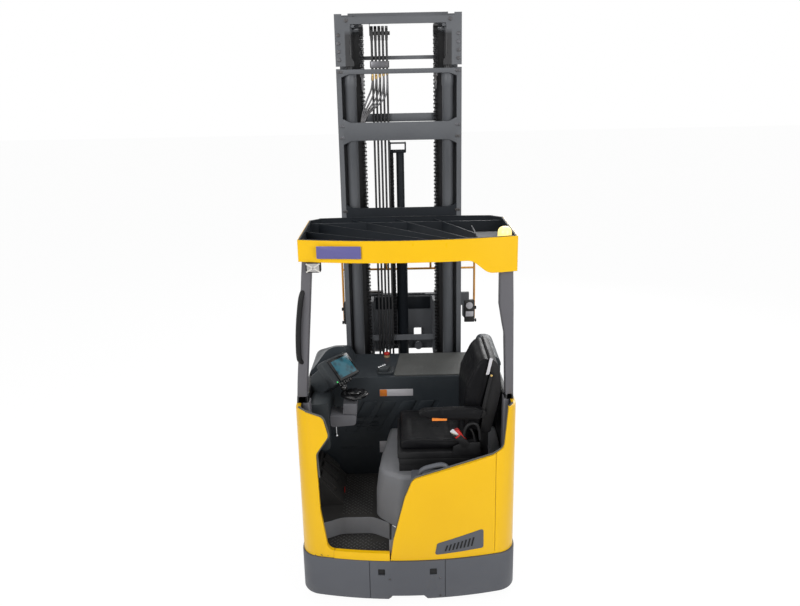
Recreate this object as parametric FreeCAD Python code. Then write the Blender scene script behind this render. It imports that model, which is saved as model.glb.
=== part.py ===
import FreeCAD, Part
import math
import os
from FreeCAD import Vector

os.makedirs("parts", exist_ok=True)

# Reach truck, in millimetres. X points right as seen from behind, Y forward to the fork tips,
# Z up from the floor. Y is measured from the rearmost point of the bumper; save() moves the
# finished pieces so that the origin is under the middle of the whole truck.

# Overall sizes
TRUCK_WIDTH = 1270.0
HALF_WIDTH = TRUCK_WIDTH / 2
FLOOR_CLEARANCE = 80.0
PANEL_GAP = 0.3
RUN_GAP = 6.0
FORK_LENGTH = 1150.0

# Body shell in plan: a wide rear bow with round corners
REAR_BOW_RADIUS = 2283.0
CORNER_RADIUS = 130.0
SKIRT_TOP = 335.0
SKIRT_WALL = 40.0
PANEL_INSET = 8.0
PANEL_WALL = 28.0
PANEL_TOP = 1225.0
CAB_FRONT = 830.0

# Entry, floor and seat pedestal
SILL_TOP = 385.0
TREAD_TOP = 347.0
FLOOR_TOP = 460.0
FLOOR_THICKNESS = 15.0
ENTRY_LEFT = 198.0 - HALF_WIDTH
ENTRY_RIGHT = -110.0
PEDESTAL_TOP = 800.0

# Hood over the battery, and the battery
HOOD_TOP = 1155.0
HOOD_FRONT = 1285.0
HOOD_WALL = 22.0
BATTERY_WIDTH = TRUCK_WIDTH - 150.0
BATTERY_LENGTH = 360.0
BATTERY_TOP = 1090.0
TRAY_THICKNESS = 20.0

# Wheels
DRIVE_WHEEL_DIAMETER = 343.0
DRIVE_WHEEL_WIDTH = 140.0
DRIVE_WHEEL_X = 120.0
DRIVE_WHEEL_Y = 300.0
LOAD_WHEEL_DIAMETER = 285.0
LOAD_WHEEL_WIDTH = 84.0
LOAD_WHEEL_Y = 1900.0
AXLE_DIAMETER = 40.0
HUB_GAP = 0.5

# Straddle legs
LEG_START = 858.0
LEG_END = 2090.0
LEG_BOTTOM = 95.0
LEG_TOP = 302.0
LEG_WIDTH = 120.0
LEG_OUTER = HALF_WIDTH - 15.0
LEG_INNER = LEG_OUTER - LEG_WIDTH
LEG_PLATE = 12.0
RAIL_INNER = LEG_INNER - 45.0
RAIL_FLOOR = 190.0
ROLLER_GAP = 0.5

# Mast, as it stands pulled back and lowered
MAST_REAR = 1310.0
REACH_PLATE = 16.0
REACH_PLATE_OUTER = RAIL_INNER - 15.0
MAST_HALF_WIDTH = REACH_PLATE_OUTER - REACH_PLATE - 19.0
CHANNEL_DEPTH = 55.0
WEB = 12.0
FLANGE = 14.0
REAR_FLANGE_WIDTH = 60.0
OUTER_CHANNEL_BACK = 1405.0
OUTER_CHANNEL_FRONT = 1585.0
OUTER_BOTTOM = 110.0
OUTER_TOP = 3095.0
STAGE_BOTTOM_STEP = 25.0
MIDDLE_TOP = 3428.0
INNER_TOP = 3440.0
INBOARD_EDGE = MAST_HALF_WIDTH - 165.0
LIFT_CYLINDER_DIAMETER = 70.0
LIFT_CYLINDER_X = MAST_HALF_WIDTH - 87.0
LIFT_CYLINDER_Y = 1365.0
LIFT_CYLINDER_TOP = 3063.0
LIFT_ROD_DIAMETER = 45.0
REACH_TRAVEL = 600.0

# Free lift unit and fork carriage, raised as in the photograph
FREE_LIFT_X = -34.0
FREE_LIFT_DIAMETER = 90.0
FREE_LIFT_ROD = 55.0
FREE_LIFT_BARREL_TOP = 1990.0
FREE_LIFT_HEAD_TOP = 2600.0
CARRIAGE_TOP = 1488.0
CARRIAGE_HEIGHT = 407.0
CARRIAGE_BACK = 1600.0
SIDE_SHIFT = 45.0
LOW_BAR_HALF = RAIL_INNER - 85.0
TOP_BAR_HALF = LOW_BAR_HALF + 120.0
WING_BOTTOM = 1255.0
FORK_THICKNESS = 40.0
FORK_WIDTH = 120.0
FORK_SPREAD = LOW_BAR_HALF - 120.0
FORK_DROP = 76.0
BACKREST_HALF = TOP_BAR_HALF
BACKREST_TOP = 2230.0
BACKREST_TUBE = 24.0

# Overhead guard, a little off centre to the right as in the photograph
GUARD_LEFT = 65.0 - HALF_WIDTH
GUARD_RIGHT = HALF_WIDTH - 13.0
GUARD_NEAR = 126.0
GUARD_FAR = 880.0
GUARD_TOP = 2205.0
GUARD_BAND = 120.0
GUARD_WALL = 12.0
GUARD_BOW = 80.0

# Places that follow from the sizes above
RAIL_LIP = MAST_HALF_WIDTH - CHANNEL_DEPTH
TRAY_TOP = LEG_TOP + TRAY_THICKNESS
PANEL_INNER = PANEL_INSET + PANEL_WALL
STAGE_GAP = RUN_GAP
CARRIAGE_BOTTOM = CARRIAGE_TOP - CARRIAGE_HEIGHT
TILT_STEP = 40.0
SHIFT_STEP = 6.0
LIFT_PLATE = 14.0
TILT_PLATE = 16.0
SHIFT_PLATE = 22.0
TILT_BACK = CARRIAGE_BACK + LIFT_PLATE + TILT_STEP
TILT_AXIS_Y = CARRIAGE_BACK + LIFT_PLATE + TILT_STEP / 2
TILT_AXIS_Z = CARRIAGE_TOP - 45.0
SHIFT_BACK = TILT_BACK + TILT_PLATE + SHIFT_STEP
FORK_BACK = SHIFT_BACK + SHIFT_PLATE
FORK_FACE = FORK_BACK + FORK_THICKNESS
OVERALL_LENGTH = FORK_FACE + FORK_LENGTH
FRAME_SHIFT = Vector(0, -OVERALL_LENGTH / 2, 0)


def box(x0, x1, y0, y1, z0, z1):
    return Part.makeBox(x1 - x0, y1 - y0, z1 - z0, Vector(x0, y0, z0))


def rod(start, end, diameter):
    a = Vector(*start)
    along = Vector(*end) - a
    return Part.makeCylinder(diameter / 2, along.Length, a, along)


def disc_x(x0, x1, y, z, diameter):
    return rod((x0, y, z), (x1, y, z), diameter)


def disc_z(x, y, z0, z1, diameter):
    return rod((x, y, z0), (x, y, z1), diameter)


def bent_bar(points, diameter):
    pieces = [rod(a, b, diameter) for a, b in zip(points, points[1:])]
    pieces += [Part.makeSphere(diameter / 2, Vector(*point)) for point in points[1:-1]]
    return join(pieces)


def mirror_x(shape):
    return shape.mirror(Vector(0, 0, 0), Vector(1, 0, 0))


def both_sides(shape):
    return [shape, mirror_x(shape)]


def join(shapes):
    first = shapes[0]
    if len(shapes) == 1:
        return first
    return first.multiFuse(shapes[1:]).removeSplitter()


def group(shapes):
    return Part.makeCompound(shapes)


# An outline is a list of corners (u, v, radius); a radius of 0 leaves the corner sharp.
# The planes are named by their two axes, and the prism grows along the third.
PLANES = {
    "xy": lambda u, v, w: Vector(u, v, w),
    "xz": lambda u, v, w: Vector(u, w, v),
    "yz": lambda u, v, w: Vector(w, u, v),
}


def outline_wire(corners, plane, level):
    to_space = PLANES[plane]
    flat = [Vector(u, v, 0) for u, v, r in corners]
    count = len(corners)
    arcs = []
    for i in range(count):
        here = flat[i]
        radius = corners[i][2]
        to_last = (flat[i - 1] - here).normalize()
        to_next = (flat[(i + 1) % count] - here).normalize()
        if radius <= 0:
            arcs.append((here, None, here))
            continue
        half = to_last.getAngle(to_next) / 2
        reach = radius / math.tan(half)
        middle_way = (to_last + to_next).normalize()
        centre = here + middle_way * (radius / math.sin(half))
        arcs.append((here + to_last * reach, centre - middle_way * radius, here + to_next * reach))
    edges = []
    for i in range(count):
        start, middle, end = arcs[i]
        place = [to_space(p.x, p.y, level) for p in (start, middle or start, end)]
        if middle is not None:
            edges.append(Part.Arc(*place).toShape())
        next_start = arcs[(i + 1) % count][0]
        if (next_start - end).Length > 0.01:
            edges.append(Part.LineSegment(place[2], to_space(next_start.x, next_start.y, level)).toShape())
    return Part.Wire(edges)


def prism(corners, plane, start, end):
    face = Part.Face(outline_wire(corners, plane, start))
    to_space = PLANES[plane]
    return face.extrude(to_space(0, 0, end - start))


def loft(sections, plane):
    # Each section is (level, corners)
    wires = [outline_wire(corners, plane, level) for level, corners in sections]
    return Part.makeLoft(wires, True, True)


def save(name, shape):
    placed = shape.copy()
    placed.translate(FRAME_SHIFT)
    placed.exportStep("parts/" + name + ".step")


def body_prism(inset, z0, z1, y_end):
    # The body's plan, drawn in by inset: straight sides, a rear bow and round rear corners
    sides = box(inset - HALF_WIDTH, HALF_WIDTH - inset, 0, y_end, z0, z1)
    bow = Part.makeCylinder(REAR_BOW_RADIUS - inset, z1 - z0, Vector(0, REAR_BOW_RADIUS, z0))
    plan = sides.common(bow)
    upright = []
    for edge in plan.Edges:
        ends = [v.Point for v in edge.Vertexes]
        is_vertical = len(ends) == 2 and abs(ends[0].z - ends[1].z) > 1 and abs(ends[0].x - ends[1].x) < 0.01
        if is_vertical and ends[0].y < y_end / 2:
            upright.append(edge)
    return plan.makeFillet(CORNER_RADIUS - inset, upright)


# Chassis frame: side beams, deck with the slewing ring, battery tray and bulkhead plate
BEAM_OUTER = HALF_WIDTH - SKIRT_WALL
BEAM_WIDTH = 30.0
BEAM_REAR = 240.0
DECK_TOP = FLOOR_TOP - FLOOR_THICKNESS
DECK_THICKNESS = 16.0
RING_DIAMETER = 300.0
YOKE_SEAT = DECK_TOP - DECK_THICKNESS
CROSS_BEAM_FRONT = 905.0
WALL_FRONT = CAB_FRONT + 15.0
HOOD_SKIRT = 700.0
REACH_CYLINDER_X = -150.0
REACH_CYLINDER_Z = 240.0
REACH_BARREL = 70.0
REACH_ROD = 40.0
REACH_BARREL_REAR = 430.0
REACH_BARREL_FRONT = 1140.0
REACH_CROSS = 1180.0


def make_chassis():
    beam = box(BEAM_OUTER - BEAM_WIDTH, BEAM_OUTER, BEAM_REAR, LEG_START, LEG_BOTTOM, DECK_TOP)
    deck = box(ENTRY_RIGHT, BEAM_OUTER, BEAM_REAR, LEG_START, YOKE_SEAT, DECK_TOP)
    deck_left = box(-BEAM_OUTER, ENTRY_RIGHT, 340, LEG_START, YOKE_SEAT, DECK_TOP)
    ring = disc_z(DRIVE_WHEEL_X, DRIVE_WHEEL_Y, YOKE_SEAT - 24, YOKE_SEAT, RING_DIAMETER)
    bulkhead = box(-BEAM_OUTER, BEAM_OUTER, WALL_FRONT + PANEL_GAP, LEG_START, LEG_TOP, HOOD_SKIRT - 15)
    tray = box(-BEAM_OUTER, BEAM_OUTER, LEG_START, HOOD_FRONT, LEG_TOP, TRAY_TOP)
    half = RAIL_INNER - PANEL_GAP
    cross = box(-half, half, LEG_START, CROSS_BEAM_FRONT, RAIL_FLOOR - LEG_PLATE, LEG_TOP)
    frame = join(both_sides(beam) + [deck, deck_left, ring, bulkhead, tray, cross])
    return frame.cut(rod((REACH_CYLINDER_X, LEG_START - 1, REACH_CYLINDER_Z),
                         (REACH_CYLINDER_X, CROSS_BEAM_FRONT + 1, REACH_CYLINDER_Z),
                         REACH_BARREL + 2 * PANEL_GAP))


def make_skirt():
    outer = body_prism(0, FLOOR_CLEARANCE, SKIRT_TOP, LEG_START)
    inner = body_prism(SKIRT_WALL, FLOOR_CLEARANCE - 1, SKIRT_TOP + 1, LEG_START + 1)
    skirt = outer.cut(inner)
    foot_notch = [(-45, FLOOR_CLEARANCE - 1, 0), (45, FLOOR_CLEARANCE - 1, 0),
                  (32, FLOOR_CLEARANCE + 20, 6), (-32, FLOOR_CLEARANCE + 20, 6)]
    return skirt.cut(prism(foot_notch, "xz", -1, 60))


def shell():
    outer = body_prism(PANEL_INSET, SKIRT_TOP, PANEL_TOP, LEG_START)
    inner = body_prism(PANEL_INNER, SKIRT_TOP - 1, PANEL_TOP + 1, LEG_START + 1)
    return outer.cut(inner)


# Panel edges seen from behind: (x, z, radius)
RIGHT_EDGE = [
    (ENTRY_RIGHT + PANEL_GAP, SKIRT_TOP, 0),
    (-96, 480, 60),
    (-30, 720, 60),
    (18, 835, 70),
    (HALF_WIDTH - 125, 985, 60),
    (HALF_WIDTH - 79, 1060, 60),
    (HALF_WIDTH - 43, PANEL_TOP, 0),
    (HALF_WIDTH + 10, PANEL_TOP, 0),
    (HALF_WIDTH + 10, SKIRT_TOP, 0),
]
LEFT_EDGE = [
    (-HALF_WIDTH - 10, SKIRT_TOP, 0),
    (-HALF_WIDTH - 10, PANEL_TOP, 0),
    (75 - HALF_WIDTH, PANEL_TOP, 0),
    (165 - HALF_WIDTH, 1175, 50),
    (179 - HALF_WIDTH, 1075, 40),
    (111 - HALF_WIDTH, 945, 60),
    (123 - HALF_WIDTH, 640, 200),
    (155 - HALF_WIDTH, SILL_TOP, 45),
    (ENTRY_LEFT - PANEL_GAP, SILL_TOP, 0),
    (ENTRY_LEFT - PANEL_GAP, SKIRT_TOP, 0),
]


def make_right_panel():
    rear = prism(RIGHT_EDGE, "xz", -1, CORNER_RADIUS + 130)
    side = box(0, HALF_WIDTH, CORNER_RADIUS + 130, LEG_START, SKIRT_TOP, PANEL_TOP)
    return shell().common(join([rear, side]))


def make_left_panel():
    rear = prism(LEFT_EDGE, "xz", -1, CORNER_RADIUS + 130)
    side = box(-HALF_WIDTH, 0, CORNER_RADIUS + 130, LEG_START, SKIRT_TOP, PANEL_TOP)
    return shell().common(join([rear, side]))


def make_sill():
    strip = box(ENTRY_LEFT, ENTRY_RIGHT, 0, 200, SKIRT_TOP, SILL_TOP)
    return shell().common(strip)


# Moulded floor: a raised deck, and a step whose riser is hollowed in plan
STEP_PLAN = [(75 - HALF_WIDTH, 30, 0), (75 - HALF_WIDTH, 200, 60), (ENTRY_LEFT + 37, 285, 90),
             (ENTRY_RIGHT - 100, 285, 90), (ENTRY_RIGHT, 215, 0), (ENTRY_RIGHT, 30, 0)]
RISER_WALL = 12.0
FLOOR_RIGHT = ENTRY_RIGHT + RISER_WALL


def make_floor():
    inside = body_prism(PANEL_INNER + PANEL_GAP, SKIRT_TOP, FLOOR_TOP, CAB_FRONT)
    deck = box(-HALF_WIDTH, FLOOR_RIGHT, 30, CAB_FRONT, DECK_TOP, FLOOR_TOP)
    grown = [(-HALF_WIDTH, 0, 0), (-HALF_WIDTH, 210, 0), (ENTRY_LEFT + 37, 298, 90), (ENTRY_RIGHT - 96, 298, 90),
             (FLOOR_RIGHT, 222, 0), (FLOOR_RIGHT, 0, 0)]
    well = prism(grown, "xy", SKIRT_TOP, FLOOR_TOP)
    hollow = prism(STEP_PLAN, "xy", TREAD_TOP, FLOOR_TOP + 1)
    return join([deck, well]).common(inside).cut(hollow)


# Seat pedestal: a loft whose left face leans in as it rises
PEDESTAL_RIGHT = HALF_WIDTH - PANEL_INNER - PANEL_GAP


def make_pedestal():
    near = 235
    low = [(-192, near, 0), (PEDESTAL_RIGHT, near, 0), (PEDESTAL_RIGHT, CAB_FRONT - 1, 0), (-205, CAB_FRONT - 1, 0)]
    middle = [(-172, near + 15, 0), (PEDESTAL_RIGHT, near + 15, 0), (PEDESTAL_RIGHT, CAB_FRONT - 1, 0),
              (-185, CAB_FRONT - 1, 0)]
    high = [(-105, near + 30, 0), (PEDESTAL_RIGHT, near + 30, 0), (PEDESTAL_RIGHT, CAB_FRONT - 1, 0),
            (-120, CAB_FRONT - 1, 0)]
    lower = loft([(FLOOR_TOP, low), (660, middle)], "xy")
    upper = loft([(660, middle), (PEDESTAL_TOP, high)], "xy")
    foot = box(FLOOR_RIGHT + PANEL_GAP, PEDESTAL_RIGHT, near, CAB_FRONT - 1, DECK_TOP, FLOOR_TOP)
    return join([lower, upper, foot])


# Hood: the dark cover round the battery, flat on top. At the right it rises to a round shoulder,
# at the left to the mound behind the display, which falls off towards the mast.
RIGHT_SHOULDER = 1290.0
RIGHT_SHOULDER_WIDTH = 107.0
MOUND_RIGHT = 292.0 - HALF_WIDTH
MOUND_REAR_TOP = 1375.0
MOUND_FRONT_TOP = 1225.0
MOUND_SIDE_TOP = 1185.0
RIB_TOP = 985.0
RIB_HEIGHT = 215.0
RIB_LEAN = 125.0
RIB_WIDTH = 84.0
RIB_DEPTH = 6.0
RIB_PLACES = [-285.0, -140.0, 5.0, 150.0]


def mound_outline(crest, inset):
    # Corners at one station along the truck, drawn in by inset
    side = PANEL_INSET - HALF_WIDTH + inset
    return [
        (side, HOOD_SKIRT, 0),
        (side, MOUND_SIDE_TOP - inset, 60),
        (MOUND_RIGHT - 140, crest - inset, 110),
        (MOUND_RIGHT - 40 - inset, crest - inset, 30),
        (MOUND_RIGHT - inset, HOOD_TOP - inset, 10),
        (MOUND_RIGHT - inset, HOOD_SKIRT, 0),
    ]


def make_hood():
    side = HALF_WIDTH - PANEL_INSET
    outer = [(MOUND_RIGHT - HOOD_WALL, HOOD_SKIRT, 0), (MOUND_RIGHT - HOOD_WALL, HOOD_TOP, 0),
             (side - RIGHT_SHOULDER_WIDTH - 50, HOOD_TOP, 60), (side - RIGHT_SHOULDER_WIDTH, RIGHT_SHOULDER, 40),
             (side, RIGHT_SHOULDER, 60), (side, HOOD_SKIRT, 0)]
    inner = [(MOUND_RIGHT - HOOD_WALL - 1, HOOD_SKIRT - 1, 0), (MOUND_RIGHT - HOOD_WALL - 1, HOOD_TOP - HOOD_WALL, 0),
             (side - RIGHT_SHOULDER_WIDTH - 50, HOOD_TOP - HOOD_WALL, 60),
             (side - RIGHT_SHOULDER_WIDTH, RIGHT_SHOULDER - HOOD_WALL, 20),
             (side - HOOD_WALL, RIGHT_SHOULDER - HOOD_WALL, 40), (side - HOOD_WALL, HOOD_SKIRT - 1, 0)]
    rear = LEG_START + PANEL_GAP
    cover = prism(outer, "xz", CAB_FRONT, HOOD_FRONT).cut(prism(inner, "xz", rear, HOOD_FRONT + 1))
    mound = loft([(CAB_FRONT, mound_outline(MOUND_REAR_TOP, 0)), (HOOD_FRONT, mound_outline(MOUND_FRONT_TOP, 0))], "xz")
    hollow = loft([(rear, mound_outline(MOUND_REAR_TOP - 10, HOOD_WALL)),
                   (HOOD_FRONT + 1, mound_outline(MOUND_FRONT_TOP - 10, HOOD_WALL))], "xz")
    bay = box(HOOD_WALL - side, side - HOOD_WALL, rear, HOOD_FRONT + 1, HOOD_SKIRT - 1, BATTERY_TOP + 25)
    shell_part = join([cover, mound.cut(hollow)]).cut(bay)
    # Behind the panels' front edge the hood keeps inside them
    rim = body_prism(0, HOOD_SKIRT - 1, MOUND_REAR_TOP + 1, rear).cut(
        body_prism(PANEL_INNER + PANEL_GAP, HOOD_SKIRT - 2, MOUND_REAR_TOP + 2, rear))
    rim = rim.common(box(-HALF_WIDTH, HALF_WIDTH, 0, rear, HOOD_SKIRT - 1, PANEL_TOP + PANEL_GAP))
    left_wall = body_prism(PANEL_INNER + PANEL_GAP, FLOOR_TOP, HOOD_SKIRT, WALL_FRONT)
    wall = left_wall.common(box(-HALF_WIDTH, HALF_WIDTH, CAB_FRONT, WALL_FRONT, FLOOR_TOP, HOOD_SKIRT))
    ribs = []
    for x in RIB_PLACES:
        corners = [(x, RIB_TOP, 12), (x + RIB_WIDTH, RIB_TOP, 12), (x + RIB_WIDTH - RIB_LEAN, RIB_TOP - RIB_HEIGHT, 12),
                   (x - RIB_LEAN, RIB_TOP - RIB_HEIGHT, 12)]
        ribs.append(prism(corners, "xz", CAB_FRONT - 1, CAB_FRONT + RIB_DEPTH))
    return join([shell_part.cut(rim), wall]).cut(group(ribs))


COVER_LEFT = -72.0


def make_battery_cover():
    right = HALF_WIDTH - PANEL_INSET - RIGHT_SHOULDER_WIDTH
    plan = [(COVER_LEFT, CAB_FRONT + 20, 12), (right - 115, CAB_FRONT + 20, 12), (right - 95, HOOD_FRONT - 23, 12),
            (COVER_LEFT + 42, HOOD_FRONT - 23, 12)]
    return prism(plan, "xy", HOOD_TOP, HOOD_TOP + 8)


def make_battery():
    rear = (LEG_START + HOOD_FRONT - BATTERY_LENGTH) / 2
    return box(-BATTERY_WIDTH / 2, BATTERY_WIDTH / 2, rear, rear + BATTERY_LENGTH, TRAY_TOP, BATTERY_TOP)


def make_side_doors():
    side = HALF_WIDTH - PANEL_INSET
    door = box(side - HOOD_WALL, side, LEG_START + PANEL_GAP, HOOD_FRONT, TRAY_TOP, HOOD_SKIRT)
    return group(both_sides(door))


def make_legs():
    beam = box(LEG_INNER, LEG_OUTER, LEG_START, LEG_END, LEG_BOTTOM, LEG_TOP)
    hollow = box(LEG_INNER + LEG_PLATE, LEG_OUTER - LEG_PLATE, LEG_START - 1, LEG_END - 30,
                 LEG_BOTTOM - 1, LEG_TOP - LEG_PLATE)
    shell_beam = beam.cut(hollow)
    top_flange = box(RAIL_INNER, LEG_INNER, LEG_START, LEG_END - 20, LEG_TOP - LEG_PLATE, LEG_TOP)
    low_flange = box(RAIL_INNER, LEG_INNER, LEG_START, LEG_END - 20, RAIL_FLOOR - LEG_PLATE, RAIL_FLOOR)
    stop = box(RAIL_INNER, LEG_INNER, LEG_END - 20, LEG_END, RAIL_FLOOR - LEG_PLATE, LEG_TOP)
    leg = join([shell_beam, top_flange, low_flange, stop])
    axle_y = LOAD_WHEEL_Y
    axle_z = LOAD_WHEEL_DIAMETER / 2
    axle = disc_x(LEG_INNER, LEG_OUTER, axle_y, axle_z, AXLE_DIAMETER)
    return group(both_sides(join([leg, axle])))


LOAD_WHEEL_X = (LEG_INNER + LEG_OUTER) / 2


def make_load_wheel():
    x0 = LOAD_WHEEL_X - LOAD_WHEEL_WIDTH / 2
    x1 = LOAD_WHEEL_X + LOAD_WHEEL_WIDTH / 2
    z = LOAD_WHEEL_DIAMETER / 2
    tyre = disc_x(x0, x1, LOAD_WHEEL_Y, z, LOAD_WHEEL_DIAMETER)
    return tyre.cut(disc_x(x0 - 1, x1 + 1, LOAD_WHEEL_Y, z, AXLE_DIAMETER + 2 * HUB_GAP))


def make_drive_yoke():
    radius = DRIVE_WHEEL_DIAMETER / 2
    half = DRIVE_WHEEL_WIDTH / 2
    head_top = YOKE_SEAT - 24 - PANEL_GAP
    head = disc_z(DRIVE_WHEEL_X, DRIVE_WHEEL_Y, head_top - 36, head_top, 260)
    arm_x = DRIVE_WHEEL_X + half + 8
    gearbox = prism([(DRIVE_WHEEL_Y - 90, head_top - 20, 20), (DRIVE_WHEEL_Y + 90, head_top - 20, 20),
                     (DRIVE_WHEEL_Y + 60, radius - 60, 40), (DRIVE_WHEEL_Y - 60, radius - 60, 40)],
                    "yz", arm_x, arm_x + 46)
    hub = disc_x(DRIVE_WHEEL_X - half + 20, arm_x + 46, DRIVE_WHEEL_Y, radius, 60)
    return join([head, gearbox, hub])


def make_drive_wheel():
    radius = DRIVE_WHEEL_DIAMETER / 2
    half = DRIVE_WHEEL_WIDTH / 2
    tyre = disc_x(DRIVE_WHEEL_X - half, DRIVE_WHEEL_X + half, DRIVE_WHEEL_Y, radius, DRIVE_WHEEL_DIAMETER)
    bore = disc_x(DRIVE_WHEEL_X - half + 20 - HUB_GAP, DRIVE_WHEEL_X + half + 1, DRIVE_WHEEL_Y, radius,
                  60 + 2 * HUB_GAP)
    return tyre.cut(bore)


# Reach carriage: side plates with rollers in the legs, joined under the mast
REACH_ROLLER_DIAMETER = LEG_TOP - LEG_PLATE - RAIL_FLOOR - 2 * ROLLER_GAP
REACH_ROLLER_PLACES = [1050.0, 1405.0]
REACH_TOP = LEG_TOP - 10.0
REACH_PLATE_REAR = REACH_ROLLER_PLACES[0] - 50
REACH_PLATE_FRONT = max(OUTER_CHANNEL_FRONT, REACH_ROLLER_PLACES[-1] + 60)


def make_reach_carriage():
    roller_z = (RAIL_FLOOR + LEG_TOP - LEG_PLATE) / 2
    plate = prism([(REACH_PLATE_REAR, 150, 20), (REACH_PLATE_REAR, REACH_TOP, 20), (REACH_PLATE_FRONT, REACH_TOP, 0),
                   (REACH_PLATE_FRONT, OUTER_BOTTOM, 0), (MAST_REAR, OUTER_BOTTOM, 20)],
                  "yz", REACH_PLATE_OUTER - REACH_PLATE, REACH_PLATE_OUTER)
    pieces = [plate]
    for y in REACH_ROLLER_PLACES:
        pieces.append(disc_x(REACH_PLATE_OUTER, LEG_INNER - ROLLER_GAP, y, roller_z, REACH_ROLLER_DIAMETER))
    link = box(MAST_HALF_WIDTH, REACH_PLATE_OUTER - REACH_PLATE, MAST_REAR, OUTER_CHANNEL_FRONT, OUTER_BOTTOM, REACH_TOP)
    pieces.append(link)
    side = join(pieces)
    inner = REACH_PLATE_OUTER - REACH_PLATE
    cross = box(-inner, inner, REACH_CROSS, REACH_CROSS + 40, 170, REACH_TOP)
    reach_rod = rod((REACH_CYLINDER_X, REACH_BARREL_REAR + 40, REACH_CYLINDER_Z),
                    (REACH_CYLINDER_X, REACH_CROSS + 1, REACH_CYLINDER_Z), REACH_ROD)
    return join(both_sides(side) + [cross, reach_rod])


def make_reach_cylinder():
    x = REACH_CYLINDER_X
    z = REACH_CYLINDER_Z
    barrel = rod((x, REACH_BARREL_REAR, z), (x, REACH_BARREL_FRONT, z), REACH_BARREL)
    bore = rod((x, REACH_BARREL_REAR + 20, z), (x, REACH_BARREL_FRONT + 1, z), REACH_ROD + 2 * HUB_GAP)
    return barrel.cut(bore)


def channel_points():
    # Outer mast half section (x, y): side web, rear flange and the two channel flanges
    return [
        (MAST_HALF_WIDTH, MAST_REAR, 0),
        (MAST_HALF_WIDTH, OUTER_CHANNEL_FRONT, 0),
        (RAIL_LIP, OUTER_CHANNEL_FRONT, 0),
        (RAIL_LIP, OUTER_CHANNEL_FRONT - FLANGE, 0),
        (MAST_HALF_WIDTH - WEB, OUTER_CHANNEL_FRONT - FLANGE, 0),
        (MAST_HALF_WIDTH - WEB, OUTER_CHANNEL_BACK + FLANGE, 0),
        (RAIL_LIP, OUTER_CHANNEL_BACK + FLANGE, 0),
        (RAIL_LIP, OUTER_CHANNEL_BACK, 0),
        (MAST_HALF_WIDTH - WEB, OUTER_CHANNEL_BACK, 0),
        (MAST_HALF_WIDTH - WEB, MAST_REAR + FLANGE, 0),
        (MAST_HALF_WIDTH - REAR_FLANGE_WIDTH, MAST_REAR + FLANGE, 0),
        (MAST_HALF_WIDTH - REAR_FLANGE_WIDTH, MAST_REAR, 0),
    ]


# Cross plates on the outer mast's rear flanges: (bottom, top)
OUTER_CROSS = [(3061.0, 3091.0), (2639.0, 2756.0), (2062.0, 2192.0), (150.0, 330.0)]


def make_outer_mast():
    rail = prism(channel_points(), "xy", OUTER_BOTTOM, OUTER_TOP)
    reach = MAST_HALF_WIDTH - REAR_FLANGE_WIDTH
    plates = [box(-reach, reach, MAST_REAR, MAST_REAR + FLANGE, low, high) for low, high in OUTER_CROSS]
    return join(both_sides(rail) + plates)


def make_lift_cylinders():
    barrel = disc_z(LIFT_CYLINDER_X, LIFT_CYLINDER_Y, OUTER_BOTTOM + 30, LIFT_CYLINDER_TOP, LIFT_CYLINDER_DIAMETER)
    bore = disc_z(LIFT_CYLINDER_X, LIFT_CYLINDER_Y, OUTER_BOTTOM + 60, LIFT_CYLINDER_TOP + 1, LIFT_ROD_DIAMETER + 1)
    foot = box(LIFT_CYLINDER_X - 40, MAST_HALF_WIDTH - WEB, LIFT_CYLINDER_Y - 38, LIFT_CYLINDER_Y + 38,
               OUTER_BOTTOM, OUTER_BOTTOM + 30)
    return group(both_sides(join([barrel.cut(bore), foot])))


MIDDLE_BACK = OUTER_CHANNEL_BACK + FLANGE + STAGE_GAP
MIDDLE_FRONT = OUTER_CHANNEL_FRONT - FLANGE - STAGE_GAP
MIDDLE_OUT = MAST_HALF_WIDTH - WEB - STAGE_GAP
MIDDLE_WEB_OUT = RAIL_LIP - STAGE_GAP
MIDDLE_WEB_IN = MIDDLE_WEB_OUT - WEB
MIDDLE_IN = MIDDLE_WEB_IN - 38
INNER_BACK = MIDDLE_BACK + WEB + STAGE_GAP
INNER_FRONT = MIDDLE_FRONT - WEB - STAGE_GAP
INNER_OUT = MIDDLE_WEB_IN - STAGE_GAP
MIDDLE_BOTTOM = OUTER_BOTTOM + STAGE_BOTTOM_STEP
INNER_BOTTOM = MIDDLE_BOTTOM + STAGE_BOTTOM_STEP
HEAD_BOTTOM = 3366.0
STAGE_MIDDLE_Y = (OUTER_CHANNEL_BACK + OUTER_CHANNEL_FRONT) / 2
CHAIN_X = INBOARD_EDGE
CHAIN_WIDTH = 30.0
CHAIN_THICKNESS = 16.0
CHAIN_SHEAVE = 48.0
CHAIN_SHEAVE_Y = 1391.0
CHAIN_SHEAVE_Z = 3330.0
CHAIN_REAR_END = 3070.0
CHAIN_FRONT_END = 290.0
HEAD_TOP = 3409.0
GUSSET_BOTTOM = 3110.0


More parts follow.
